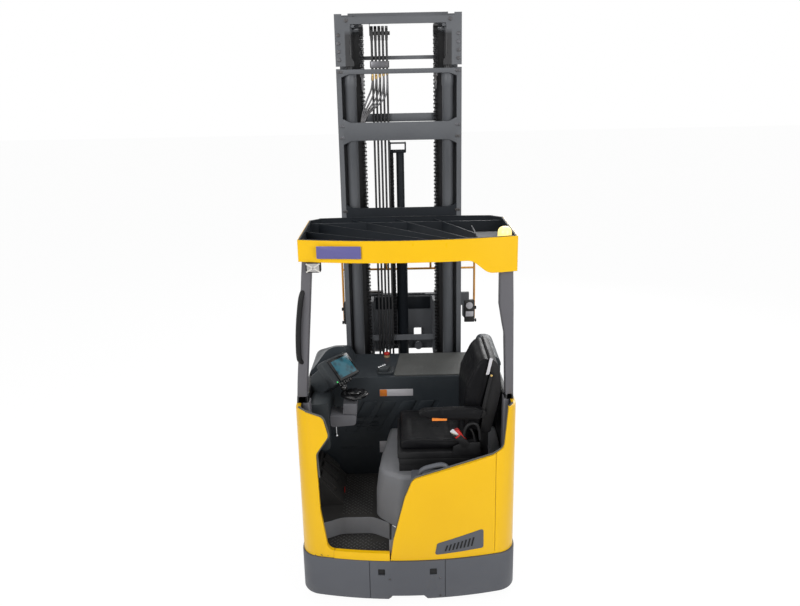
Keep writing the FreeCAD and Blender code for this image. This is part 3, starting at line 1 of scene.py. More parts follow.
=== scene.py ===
import bpy
import bmesh
import math
from math import radians
from mathutils import Matrix, Vector


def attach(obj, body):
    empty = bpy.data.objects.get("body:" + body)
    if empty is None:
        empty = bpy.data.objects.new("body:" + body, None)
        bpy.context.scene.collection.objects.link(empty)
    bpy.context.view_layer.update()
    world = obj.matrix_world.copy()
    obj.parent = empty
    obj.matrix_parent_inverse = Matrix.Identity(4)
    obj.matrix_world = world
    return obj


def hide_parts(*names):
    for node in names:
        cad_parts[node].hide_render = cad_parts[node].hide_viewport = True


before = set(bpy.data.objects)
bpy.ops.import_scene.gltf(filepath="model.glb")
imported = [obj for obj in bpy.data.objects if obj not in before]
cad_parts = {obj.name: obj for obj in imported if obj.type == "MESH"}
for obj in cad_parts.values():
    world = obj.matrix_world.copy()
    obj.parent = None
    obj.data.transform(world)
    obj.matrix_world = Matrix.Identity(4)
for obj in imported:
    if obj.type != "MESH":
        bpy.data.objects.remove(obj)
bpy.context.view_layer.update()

# Places are in millimetres from the rearmost point of the bumper, as in the part's own source.
REAR_EDGE = 1444.0


def place(x, y, z):
    return Vector((x / 1000.0, (y - REAR_EDGE) / 1000.0, z / 1000.0))


def turning(degrees, axis):
    return Matrix.Rotation(radians(degrees), 4, axis)


def in_scene(name, data):
    # A new object that holds the data, linked into the scene
    holder = bpy.data.objects.new(name, data)
    bpy.context.scene.collection.objects.link(holder)
    return holder


# Camera: the photographer stood behind the truck and looked a little down
CAMERA_PLACE = (-22, -3901, 3034)
CAMERA_PITCH = 16.2
CAMERA_ROLL = -1.117
camera_data = bpy.data.cameras.new("rear_view")
camera_data.lens = 34.875
camera_data.sensor_width = 36.0
camera_data.sensor_fit = "HORIZONTAL"
camera_data.clip_start = 0.1
camera_data.clip_end = 100.0
camera = in_scene("rear_view", camera_data)
aim = turning(90.0 - CAMERA_PITCH, "X") @ turning(CAMERA_ROLL, "Z")
camera.matrix_world = Matrix.Translation(place(*CAMERA_PLACE)) @ aim
bpy.context.scene.camera = camera
bpy.context.scene.view_settings.view_transform = "Standard"


class Nodes:
    def __init__(self, tree):
        self.tree = tree

    def node(self, kind, inputs=None, **settings):
        new_node = self.tree.nodes.new(kind)
        for key, value in settings.items():
            setattr(new_node, key, value)
        for key, value in (inputs or {}).items():
            new_node.inputs[key].default_value = value
        return new_node

    def link(self, output, target):
        self.tree.links.new(output, target)

    def sums(self, operation, first, second):
        node = self.node("ShaderNodeMath", operation=operation)
        for socket, value in zip(node.inputs, (first, second)):
            if isinstance(value, (int, float)):
                socket.default_value = value
            else:
                self.link(value, socket)
        return node.outputs["Value"]

    def seen_directly(self):
        # One for rays from the camera, through glass or off a mirror, and zero for all others
        path = self.node("ShaderNodeLightPath")
        seen = self.sums("MAXIMUM", path.outputs["Is Camera Ray"], path.outputs["Is Transmission Ray"])
        return self.sums("MAXIMUM", seen, path.outputs["Is Glossy Ray"])


class Finish(Nodes):
    # One procedural material, worked out on Object coordinates
    def __init__(self, name, colour, roughness, metallic=0.0):
        self.material = bpy.data.materials.new(name)
        self.material.use_nodes = True
        super().__init__(self.material.node_tree)
        self.shader = self.tree.nodes["Principled BSDF"]
        self.shader.inputs["Base Color"].default_value = (*colour, 1.0)
        self.shader.inputs["Roughness"].default_value = roughness
        self.shader.inputs["Metallic"].default_value = metallic
        self.colour = colour
        self.roughness = roughness
        self.place = self.node("ShaderNodeTexCoord").outputs["Object"]

    def stretched(self, scale, turn=(0.0, 0.0, 0.0)):
        lean = [radians(angle) for angle in turn]
        mapping = self.node("ShaderNodeMapping", {"Scale": scale, "Rotation": lean})
        self.link(self.place, mapping.inputs["Vector"])
        return mapping.outputs["Vector"]

    def clouds(self, scale, detail=3.0, rough=0.5, where=None):
        noise = self.node("ShaderNodeTexNoise", {"Scale": scale, "Detail": detail, "Roughness": rough})
        self.link(where or self.place, noise.inputs["Vector"])
        return noise.outputs["Fac"]

    def cells(self, scale, feature="F1", where=None):
        pattern = self.node("ShaderNodeTexVoronoi", feature=feature)
        pattern.inputs["Scale"].default_value = scale
        self.link(where or self.place, pattern.inputs["Vector"])
        return pattern.outputs["Distance"]

    def range(self, value, low, high, at_low, at_high):
        mapped = self.node("ShaderNodeMapRange", {"From Min": low, "From Max": high,
            "To Min": at_low, "To Max": at_high})
        self.link(value, mapped.inputs["Value"])
        return mapped.outputs["Result"]

    def tint(self, mask, other, under=None):
        # Blends the colour so far with another one where the mask is white
        mix = self.node("ShaderNodeMix", data_type="RGBA")
        self.link(mask, mix.inputs["Factor"])
        if under is None:
            mix.inputs["A"].default_value = (*self.colour, 1.0)
        else:
            self.link(under, mix.inputs["A"])
        mix.inputs["B"].default_value = (*other, 1.0)
        return mix.outputs["Result"]

    def paint(self, colour_output):
        self.link(colour_output, self.shader.inputs["Base Color"])

    def rough(self, value, low, high, spread):
        self.link(self.range(value, low, high, self.roughness - spread, self.roughness + spread),
            self.shader.inputs["Roughness"])

    def bump(self, height, depth, strength=1.0, under=None):
        node = self.node("ShaderNodeBump", {"Strength": strength, "Distance": depth})
        self.link(height, node.inputs["Height"])
        if under is not None:
            self.link(under, node.inputs["Normal"])
        self.link(node.outputs["Normal"], self.shader.inputs["Normal"])
        return node.outputs["Normal"]

    def soft_edge(self, radius):
        # The shader rounds the sharp edges of a solid
        node = self.node("ShaderNodeBevel", {"Radius": radius}, samples=4)
        self.link(node.outputs["Normal"], self.shader.inputs["Normal"])
        return node.outputs["Normal"]

    def set(self, **constants):
        for name, value in constants.items():
            self.shader.inputs[name.replace("_", " ")].default_value = value


def paint_shade(finish):
    return finish.range(finish.clouds(2.3, 4.0), 0.35, 0.7, 0.0, 1.0)


def orange_peel(finish, depth, edge):
    finish.rough(finish.clouds(9.0, 5.0, 0.6), 0.3, 0.7, 0.07)
    finish.bump(finish.clouds(260.0, 2.0), 0.0006, depth, finish.soft_edge(edge))


def painted_metal(name, colour, deeper, roughness, peel, edge=0.002, coat=0.0, specular=0.4):
    # Sprayed paint: orange peel, slow changes of shade and a few dull patches
    finish = Finish(name, colour, roughness)
    finish.paint(finish.tint(paint_shade(finish), deeper))
    orange_peel(finish, peel, edge)
    if coat:
        finish.set(Coat_Weight=coat, Coat_Roughness=0.12)
    finish.set(Specular_IOR_Level=specular)
    return finish.material


def moulded_plastic(name, colour, paler, roughness, grain, edge=0.002):
    # Leather-like grain from a mould, with rubbed and dusty places
    finish = Finish(name, colour, roughness)
    dust = finish.range(finish.clouds(3.5, 6.0, 0.65), 0.45, 0.75, 0.0, 1.0)
    finish.paint(finish.tint(dust, paler))
    finish.rough(finish.clouds(14.0, 4.0), 0.3, 0.7, 0.08)
    finish.bump(finish.cells(1100.0), 0.0004, grain, finish.soft_edge(edge))
    finish.set(Specular_IOR_Level=0.22)
    return finish.material


def rail_metal():
    # Mast paint with painted shade: near black on the rails inside the outer mast's channels, below the
    # head
    finish = Finish("mast_rail", (0.118, 0.124, 0.135), 0.46)
    split = finish.node("ShaderNodeSeparateXYZ")
    finish.link(finish.place, split.inputs["Vector"])
    across = finish.sums("ABSOLUTE", split.outputs["X"], 0.0)
    from_middle = finish.range(across, 0.242, 0.248, 0.0, 1.0)
    to_side = finish.range(across, 0.338, 0.344, 1.0, 0.0)
    below_head = finish.range(split.outputs["Z"], 3.30, 3.33, 1.0, 0.0)
    # Painted shade: the rails from 245 to 341 mm out from the middle, below the head, are painted near
    # black
    channel_shade = finish.sums("MULTIPLY", finish.sums("MULTIPLY", from_middle, to_side), below_head)
    unshaded_paint = finish.tint(paint_shade(finish), (0.096, 0.102, 0.112))
    finish.paint(finish.tint(channel_shade, (0.014, 0.014, 0.016), unshaded_paint))
    orange_peel(finish, 0.16, 0.002)
    return finish.material


def worked_steel(name, colour, roughness, stretch, dirt):
    # Ground or drawn steel with streaks along one way and a film of oil
    finish = Finish(name, colour, roughness, 1.0)
    streaks = finish.clouds(60.0, 4.0, 0.6, finish.stretched(stretch))
    film = finish.range(finish.clouds(7.0, 5.0, 0.6), 0.4, 0.75, 0.0, 1.0)
    finish.paint(finish.tint(film, dirt))
    finish.rough(streaks, 0.3, 0.7, 0.12)
    finish.bump(streaks, 0.0003, 0.3, finish.soft_edge(0.001))
    return finish.material


TRUCK_YELLOW = painted_metal("truck_yellow", (0.96, 0.56, 0.002), (0.92, 0.525, 0.002), 0.34, 0.10,
    0.004, 0.12, 0.25)
MAST_GREY = painted_metal("mast_grey", (0.118, 0.124, 0.135), (0.096, 0.102, 0.112), 0.46, 0.16)
MAST_RAIL = rail_metal()
PILLAR_GREY = painted_metal("pillar_grey", (0.122, 0.120, 0.132), (0.104, 0.102, 0.113), 0.42, 0.12, 0.005)
BUMPER_GREY = painted_metal("bumper_grey", (0.096, 0.102, 0.118), (0.085, 0.090, 0.104), 0.5, 0.3, 0.005)
CHASSIS_BLACK = painted_metal("chassis_black", (0.020, 0.020, 0.022), (0.028, 0.026, 0.025), 0.5, 0.2)
GUARD_BLACK = painted_metal("guard_black", (0.010, 0.013, 0.017), (0.008, 0.010, 0.013), 0.55, 0.16,
    specular=0.18)
BACKREST_ORANGE = painted_metal("backrest_orange", (0.80, 0.36, 0.045), (0.72, 0.30, 0.035), 0.36, 0.12)
HOOD_PLASTIC = moulded_plastic("hood_plastic", (0.034, 0.041, 0.048), (0.048, 0.056, 0.063), 0.42, 0.5,
    0.006)
COVER_PLASTIC = moulded_plastic("cover_plastic", (0.100, 0.103, 0.099), (0.120, 0.122, 0.117), 0.5, 0.5,
    0.003)
DASH_PLASTIC = moulded_plastic("dash_plastic", (0.032, 0.037, 0.041), (0.047, 0.054, 0.058), 0.45, 0.5)
CONSOLE_PLASTIC = moulded_plastic("console_plastic", (0.162, 0.162, 0.176), (0.182, 0.181, 0.192), 0.5, 0.5)
PEDESTAL_PLASTIC = moulded_plastic("pedestal_plastic", (0.205, 0.208, 0.220), (0.232, 0.235, 0.246),
    0.48, 0.5, 0.01)
FLOOR_PLASTIC = moulded_plastic("floor_plastic", (0.030, 0.029, 0.028), (0.050, 0.047, 0.043), 0.6, 0.7)
BLACK_VINYL = moulded_plastic("black_vinyl", (0.012, 0.012, 0.013), (0.020, 0.020, 0.021), 0.5, 0.8)
BRIGHT_ROD = worked_steel("bright_rod", (0.62, 0.63, 0.65), 0.2, (1.0, 1.0, 0.05), (0.45, 0.45, 0.46))
DARK_STEEL = worked_steel("dark_steel", (0.13, 0.13, 0.14), 0.42, (1.0, 1.0, 0.2), (0.06, 0.055, 0.05))
FORK_STEEL = worked_steel("fork_steel", (0.05, 0.05, 0.055), 0.5, (1.0, 0.1, 1.0), (0.10, 0.08, 0.06))


def gloss(name, colour, roughness, glow=0.0):
    # Smooth parts with a faint smear; a glow makes a lit lamp
    finish = Finish(name, colour, roughness)
    finish.rough(finish.clouds(22.0, 5.0, 0.6), 0.3, 0.75, 0.06)
    finish.bump(finish.clouds(90.0, 2.0), 0.0003, 0.1)
    if glow:
        finish.set(Emission_Color=(*colour, 1.0), Emission_Strength=glow)
    return finish.material


def seat_vinyl():
    # Grained upholstery vinyl: pebbles, fine creases and a worn sheen
    finish = Finish("seat_vinyl", (0.005, 0.005, 0.006), 0.36)
    worn = finish.range(finish.clouds(6.0, 5.0, 0.6), 0.42, 0.75, 0.0, 1.0)
    finish.paint(finish.tint(worn, (0.009, 0.009, 0.010)))
    finish.rough(finish.clouds(18.0, 4.0), 0.3, 0.7, 0.09)
    pebbles = finish.bump(finish.cells(420.0, "SMOOTH_F1"), 0.0008, 0.6)
    finish.bump(finish.clouds(45.0, 6.0, 0.7), 0.0015, 0.25, pebbles)
    finish.set(Specular_IOR_Level=0.09)
    return finish.material


def wheel_tread():
    finish = Finish("wheel_tread", (0.030, 0.028, 0.026), 0.6)
    dust = finish.range(finish.clouds(16.0, 6.0, 0.7), 0.45, 0.7, 0.0, 1.0)
    finish.paint(finish.tint(dust, (0.075, 0.070, 0.062)))
    finish.rough(finish.clouds(40.0, 4.0), 0.3, 0.7, 0.12)
    finish.bump(finish.clouds(320.0, 4.0, 0.6), 0.0006, 0.5)
    return finish.material


def screen_picture():
    # Blank lit display: a few plain blocks of blue, no signs
    finish = Finish("screen_picture", (0.007, 0.027, 0.038), 0.2)
    tiles = finish.cells(26.0, "F1", finish.stretched((1.0, 1.0, 1.0), (12, 0, 34)))
    shade = finish.range(tiles, 0.1, 0.6, 0.0, 1.0)
    colour = finish.tint(shade, (0.015, 0.088, 0.12))
    finish.paint(colour)
    finish.link(colour, finish.shader.inputs["Emission Color"])
    finish.set(Emission_Strength=0.5)
    return finish.material


SEAT_VINYL = seat_vinyl()
WHEEL_TREAD = wheel_tread()
SCREEN_PICTURE = screen_picture()
SHELL_PLASTIC = moulded_plastic("shell_plastic", (0.011, 0.011, 0.012), (0.020, 0.020, 0.021), 0.45, 0.5)
GLOSS_BLACK = gloss("gloss_black", (0.008, 0.008, 0.009), 0.18)
PALE_LABEL = gloss("pale_label", (0.62, 0.61, 0.64), 0.4)
ORANGE_TAG = gloss("orange_tag", (0.86, 0.24, 0.02), 0.45)
PLATE_VIOLET = gloss("plate_violet", (0.115, 0.105, 0.30), 0.4)
TAN_PLASTIC = gloss("tan_plastic", (0.42, 0.30, 0.16), 0.45)
HOSE_RUBBER = gloss("hose_rubber", (0.012, 0.012, 0.013), 0.5)
RED_PLASTIC = gloss("red_plastic", (0.55, 0.02, 0.015), 0.35)
GREEN_LAMP = gloss("green_lamp", (0.05, 0.5, 0.12), 0.3, 0.6)
AMBER_LENS = gloss("amber_lens", (1.0, 0.76, 0.26), 0.2, 0.9)
LAMP_GLOW = gloss("lamp_glow", (1.0, 0.85, 0.35), 0.3, 1.5)
LAMP_FACE = gloss("lamp_face", (0.42, 0.41, 0.40), 0.25)
LAMP_FACE_RIB = gloss("lamp_face_rib", (0.66, 0.64, 0.60), 0.3)
BRASS = worked_steel("brass_fitting", (0.60, 0.42, 0.16), 0.3, (1.0, 1.0, 1.0), (0.35, 0.25, 0.12))
CHAIN_STEEL = worked_steel("chain_steel", (0.030, 0.030, 0.032), 0.45, (1.0, 1.0, 0.4),
    (0.012, 0.011, 0.010))

NODE_FINISH = {
    TRUCK_YELLOW: ["guard_band", "entry_sill", "left_body_panel", "right_body_panel"],
    MAST_RAIL: ["middle_mast", "inner_mast"],
    MAST_GREY: ["outer_mast", "free_lift_head", "lift_carriage", "tilt_frame",
                "shift_frame", "reach_carriage", "lift_cylinders"],
    PILLAR_GREY: ["left_post", "right_post"],
    BUMPER_GREY: ["bumper_skirt", "reach_legs", "grab_handle"],
    GUARD_BLACK: ["guard_slats", "free_lift_cylinder"],
    CHASSIS_BLACK: ["chassis_frame", "drive_yoke", "battery_block", "reach_cylinder"],
    BACKREST_ORANGE: ["load_backrest"],
    HOOD_PLASTIC: ["battery_hood", "side_doors"],
    PEDESTAL_PLASTIC: ["seat_pedestal"],
    FLOOR_PLASTIC: ["cab_floor", "pedal_unit"],
    BLACK_VINYL: ["seat_cushion", "seat_back", "seat_armrest", "seat_base"],
    COVER_PLASTIC: ["battery_cover"],
    FORK_STEEL: ["fork_arms"],
    DASH_PLASTIC: ["dash_console", "control_levers"],
    CONSOLE_PLASTIC: ["steering_column"],
    GLOSS_BLACK: ["steering_wheel", "display_screen", "work_lamp"],
    RED_PLASTIC: ["stop_button", "seat_belt"],
    HOSE_RUBBER: ["hose_set"],
    SHELL_PLASTIC: ["vent_grille"],
    CHAIN_STEEL: ["mast_chains"],
    AMBER_LENS: ["beacon_lamp"],
    WHEEL_TREAD: ["drive_wheel", "left_load_wheel", "right_load_wheel"],
}


# The record's material slot that each finish usually takes
USUAL_SLOT = {
    "dark_plastic": [SHELL_PLASTIC, GLOSS_BLACK, DASH_PLASTIC, HOOD_PLASTIC],
    "grey_plastic": [PALE_LABEL, LAMP_FACE, LAMP_FACE_RIB, COVER_PLASTIC, PEDESTAL_PLASTIC,
        CONSOLE_PLASTIC, TAN_PLASTIC],
    "bare_steel": [BRASS, CHAIN_STEEL, DARK_STEEL, BRIGHT_ROD],
    "orange_paint": [ORANGE_TAG, BACKREST_ORANGE],
    "wheel_rubber": [WHEEL_TREAD],
    "dark_paint": [CHASSIS_BLACK, GUARD_BLACK],
    "amber_lens": [AMBER_LENS, LAMP_GLOW],
    "screen_glass": [SCREEN_PICTURE, GREEN_LAMP],
    "yellow_paint": [TRUCK_YELLOW],
    "grey_paint": [BUMPER_GREY, PLATE_VIOLET, PILLAR_GREY, MAST_GREY],
    "red_plastic": [RED_PLASTIC],
}


def dress_solids():
    for material, names in NODE_FINISH.items():
        for name in names:
            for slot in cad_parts[name].material_slots:
                slot.material = material


dress_solids()


# Meshes: small steps that several shapes share, all in metres
def outward(part):
    bmesh.ops.recalc_face_normals(part, faces=part.faces)
    return part


def drawn_out(part, faces, way):
    # Extrudes the faces and moves their far side along way
    grown = bmesh.ops.extrude_face_region(part, geom=faces)
    far = [item for item in grown["geom"] if isinstance(item, bmesh.types.BMVert)]
    bmesh.ops.translate(part, vec=way, verts=far)


def merged(part, distance):
    bmesh.ops.remove_doubles(part, verts=part.verts, dist=distance)
    return part


def mesh_from(part, name):
    mesh = bpy.data.meshes.new(name)
    part.to_mesh(mesh)
    part.free()
    return mesh


def part_from(mesh):
    part = bmesh.new()
    part.from_mesh(mesh)
    bpy.data.meshes.remove(mesh)
    return part


def drawn_mesh(holder):
    # The object's mesh as its modifiers leave it
    drawn = bpy.context.evaluated_depsgraph_get()
    return bpy.data.meshes.new_from_object(holder.evaluated_get(drawn))


# Shapes. Each helper gives a bmesh in metres; the numbers handed to it are millimetres.
def corners_of(u, v):
    # The four corners of a rectangle given by its two spans
    return [(u[0], v[0]), (u[1], v[0]), (u[1], v[1]), (u[0], v[1])]


def soften(part, rounding, segments=2, edges=None):
    if rounding > 0:
        chosen = list(edges) if edges is not None else list(part.edges)
        bmesh.ops.bevel(part, geom=chosen, offset=rounding / 1000.0, segments=segments, profile=0.5,
            affect="EDGES", material=-1, clamp_overlap=True)
    return part


def block(x, y, z, rounding=0.0, segments=2):
    part = bmesh.new()
    bmesh.ops.create_cube(part, size=1.0)
    size = [(high - low) / 1000.0 for low, high in (x, y, z)]
    bmesh.ops.scale(part, vec=size, verts=part.verts)
    middle = place(*[(low + high) / 2.0 for low, high in (x, y, z)])
    bmesh.ops.translate(part, vec=middle, verts=part.verts)
    return soften(part, rounding, segments)


WAYS = {
    "X": turning(90, "Y"),
    "Y": turning(-90, "X"),
    "Z": Matrix.Identity(4),
    "-X": turning(-90, "Y"),
    "-Y": turning(90, "X"),
}


def stand(part, where, way="Z", turn=()):
    # Moves a part made round the origin to its place, with its axis along way
    for angle, axis in turn:
        part.transform(turning(angle, axis))
    part.transform(WAYS[way])
    part.transform(Matrix.Translation(place(*where)))
    return part


def turned(profile, where=None, way="Z", steps=32):
    # Spins a profile of (radius, height) corners round its axis
    part = bmesh.new()
    corners = [part.verts.new((radius / 1000.0, 0.0, height / 1000.0)) for radius, height in profile]
    lines = [part.edges.new(pair) for pair in zip(corners, corners[1:])]
    bmesh.ops.spin(part, geom=corners + lines, cent=(0, 0, 0), axis=(0, 0, 1), dvec=(0, 0, 0),
        angle=radians(360), steps=steps, use_merge=True)
    outward(merged(part, 0.00001))
    return stand(part, where, way) if where is not None else part


def disc(where, way, radius, length, rounding=0.0, steps=32):
    r = min(rounding, radius * 0.9, length * 0.45)
    if r <= 0:
        profile = [(0, 0), (radius, 0), (radius, length), (0, length)]
    else:
        profile = [(0, 0), (radius - r, 0), (radius - r * 0.3, r * 0.3), (radius, r),
            (radius, length - r), (radius - r * 0.3, length - r * 0.3), (radius - r, length),
            (0, length)]
    return turned(profile, where, way, steps)


def slab(corners, depth, corner_round=0.0, rounding=0.0, segments=2):
    # A plate cut to an outline of (u, v) corners in the upright plane, depth deep along Y
    part = bmesh.new()
    points = [part.verts.new((u / 1000.0, 0.0, v / 1000.0)) for u, v in corners]
    part.faces.new(points)
    if corner_round > 0:
        bmesh.ops.bevel(part, geom=list(part.verts), offset=corner_round / 1000.0, segments=4,
            profile=0.5, affect="VERTICES", material=-1, clamp_overlap=True)
    drawn_out(part, list(part.faces), (0, depth / 1000.0, 0))
    outward(part)
    if rounding > 0:
        ends = [edge for edge in part.edges if abs(edge.verts[0].co.y - edge.verts[1].co.y) < 1e-6]
        soften(part, rounding, segments, ends)
    return part


def upright(corners, y0, y1, corner_round=0.0, rounding=0.0):
    # The same plate with its corners given as (x, z) places on the truck
    return stand(slab(corners, y1 - y0, corner_round, rounding), (0, y0, 0))


def oblong(x, y, z, corner_round=0.0, rounding=0.0):
    # A rectangle given by its spans along x, y and z
    return upright(corners_of(x, z), y[0], y[1], corner_round, rounding)


def sideways(corners, x0, x1, corner_round=0.0, rounding=0.0):
    # Corners given as (y, z) places, the plate x1 - x0 thick
    part = slab([(y - REAR_EDGE, z) for y, z in corners], x1 - x0, corner_round, rounding)
    part.transform(turning(90, "Z"))
    part.transform(Matrix.Translation((x1 / 1000.0, 0, 0)))
    return part


def level(corners, z0, z1, corner_round=0.0, rounding=0.0):
    # Corners given as (x, y) places, the plate z1 - z0 thick
    part = slab([(x, y - REAR_EDGE) for x, y in corners], z1 - z0, corner_round, rounding)
    part.transform(turning(-90, "X") @ Matrix.Scale(-1, 4, (0, 1, 0)))
    return stand(outward(part), (0, REAR_EDGE, z0))


def tube(points, radius, smooth=True, rings=8):
    # A round bar or pipe through places on the truck
    curve = bpy.data.curves.new("run", "CURVE")
    curve.dimensions = "3D"
    spline = curve.splines.new("NURBS" if smooth else "POLY")
    spline.points.add(len(points) - 1)
    for point, where in zip(spline.points, points):
        point.co = (*place(*where), 1.0)
    if smooth:
        spline.order_u = 3
        spline.use_endpoint_u = True
        spline.resolution_u = rings
    curve.bevel_depth = radius / 1000.0
    curve.bevel_resolution = 3
    curve.use_fill_caps = True
    holder = in_scene("run", curve)
    part = part_from(drawn_mesh(holder))
    bpy.data.objects.remove(holder)
    bpy.data.curves.remove(curve)
    return outward(merged(part, 0.00001))


def mirrored(part):
    other = part.copy()
    other.transform(Matrix.Scale(-1, 4, (1, 0, 0)))
    bmesh.ops.reverse_faces(other, faces=other.faces)
    return other


def both(parts):
    return parts + [mirrored(part) for part in parts]


def hex_bolt(where, way, across=18.0, height=9.0):
    head = bmesh.new()
    bmesh.ops.create_cone(head, cap_ends=True, segments=6, radius1=across * 0.577 / 1000.0,
        radius2=across * 0.577 / 1000.0, depth=height / 1000.0)
    bmesh.ops.translate(head, vec=(0, 0, (height / 2.0 + 2.0) / 1000.0), verts=head.verts)
    soften(head, across * 0.05, 1)
    washer = turned([(0, 0), (across * 0.68, 0), (across * 0.68, 1.6), (across * 0.6, 2.2), (0, 2.2)],
        steps=16)
    return joined([stand(head, where, way), stand(washer, where, way)])


def round_screw(where, way, width=12.0):
    r = width / 2.0
    profile = [(0, 0.5), (r * 0.35, 0.5), (r * 0.4, r * 0.5), (r * 0.75, r * 0.38), (r, 0)]
    return turned(profile, where, way, 12)


def joined(parts):
    whole = bmesh.new()
    for part in parts:
        mesh = mesh_from(part, "part")
        whole.from_mesh(mesh)
        bpy.data.meshes.remove(mesh)
    return whole


def piece(name, parts, material, slot=None, body="truck", replaced=(), angle=38.0):
    mesh = mesh_from(joined(parts), name)
    mesh.materials.append(material)
    for face in mesh.polygons:
        face.use_smooth = True
    mesh.set_sharp_from_angle(angle=radians(angle))
    made = in_scene(name, mesh)
    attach(made, body)
    if slot is None:
        slot = [usual for usual, finishes in USUAL_SLOT.items() if material in finishes][0]
    for node in replaced:
        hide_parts(node)


# Seat: padded cushion, back and armrest, swelled as cloth over a slightly smaller form
def swelled(name, form, voxel, cap, pressure, held, material, body="truck"):
    pad = in_scene(name, mesh_from(form, name))
    even = pad.modifiers.new("even", "REMESH")
    even.mode = "VOXEL"
    even.voxel_size = voxel / 1000.0
    remeshed = drawn_mesh(pad)
    pad.modifiers.clear()
    pad.data = remeshed
    start = [vertex.co.copy() for vertex in pad.data.vertices]
    pins = pad.vertex_groups.new(name="held")
    pins.add([i for i, spot in enumerate(start) if held(spot)], 1.0, "REPLACE")
    cloth = pad.modifiers.new("cloth", "CLOTH")
    cloth.settings.vertex_group_mass = "held"
    cloth.settings.use_pressure = True
    cloth.settings.uniform_pressure_force = pressure
    cloth.settings.effector_weights.gravity = 0.0
    cloth.settings.quality = 4
    for step in range(1, CLOTH_STEPS + 1):
        bpy.context.scene.frame_set(step)
    drawn = bpy.context.evaluated_depsgraph_get()
    swollen = pad.evaluated_get(drawn).data
    spots = [vertex.co.copy() for vertex in swollen.vertices]
    pad.modifiers.clear()
    pad.vertex_groups.clear()
    bpy.context.scene.frame_set(1)
    for vertex, old, new in zip(pad.data.vertices, start, spots):
        way = new - old
        if way.length > cap / 1000.0:
            way = way.normalized() * (cap / 1000.0)
        vertex.co = old + way
    for face in pad.data.polygons:
        face.use_smooth = True
    pad.data.materials.clear()
    pad.data.materials.append(material)
    rounder = pad.modifiers.new("rounder", "SUBSURF")
    rounder.levels = 1
    rounder.render_levels = 1
    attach(pad, body)
    return pad


def to_rear(spot):
    # Metres of the frame back to millimetres from the bumper
    return spot.x * 1000.0, spot.y * 1000.0 + REAR_EDGE, spot.z * 1000.0


CUSHION_FORM = [(-38, 934), (-40, 985), (0, 994), (250, 982), (380, 990), (418, 995), (425, 934)]
BACK_FORM = [(338, 1040), (338, 1220), (350, 1315), (382, 1382), (410, 1442), (438, 1474), (470, 1484),
    (490, 1462), (490, 1390), (452, 1230), (426, 1040)]
ARM_FORM = [(66, 1185), (100, 1206), (250, 1212), (436, 1210), (442, 1190), (425, 1146), (240, 1146),
    (140, 1152)]
CUSHION_SEAMS_Y = (275.0, 640.0)
CUSHION_SEAM_X = 30.0
CUSHION_SIDE_TOP = 945.0
CUSHION_SEAM_LEVEL = 960.0
BACK_SEAMS_Y = (262.0, 653.0)
BACK_CHANNELS_Z = (1160, 1290, 1420)
BACK_MIDDLE_Y = 457.5
BACK_FOOT_Z = 1040
BACK_CURVE_Z = 1380.0
ARM_HELD_BELOW = 1152
SEAM_REACH = 4
CLOTH_STEPS = 20


def cushion_form():
    form = upright(CUSHION_FORM, 235, 680, 14, 16)
    bmesh.ops.subdivide_edges(form, edges=[e for e in form.edges if e.calc_length() > 0.05], cuts=6,
        use_grid_fill=True)
    return form


def cushion_held(spot):
    x, y, z = to_rear(spot)
    on_seam = min(abs(y - CUSHION_SEAMS_Y[0]), abs(y - CUSHION_SEAMS_Y[1]), abs(x - CUSHION_SEAM_X))
    return z < CUSHION_SIDE_TOP or (on_seam < SEAM_REACH and z > CUSHION_SEAM_LEVEL)


def back_form():
    form = upright(BACK_FORM, 245, 670, 20, 18)
    for vertex in form.verts:
        x, y, z = to_rear(vertex.co)
        drawn_in = max(0.0, (z - BACK_CURVE_Z) / 210.0) ** 2 * 0.22
        vertex.co.y = (BACK_MIDDLE_Y + (y - BACK_MIDDLE_Y) * (1.0 - drawn_in) - REAR_EDGE) / 1000.0
    return form


def back_held(spot):
    x, y, z = to_rear(spot)
    low_y, high_y = BACK_SEAMS_Y
    front = x < 335 + (z - BACK_FOOT_Z) * 0.24
    behind = x > 402 + (z - BACK_FOOT_Z) * 0.16
    on_side_seam = min(abs(y - low_y), abs(y - high_y)) < SEAM_REACH
    near_channel = min(abs(z - row) for row in BACK_CHANNELS_Z) < SEAM_REACH
    on_channel = front and near_channel and low_y < y < high_y
    return on_side_seam or on_channel or behind


def arm_held(spot):
    return to_rear(spot)[2] < ARM_HELD_BELOW


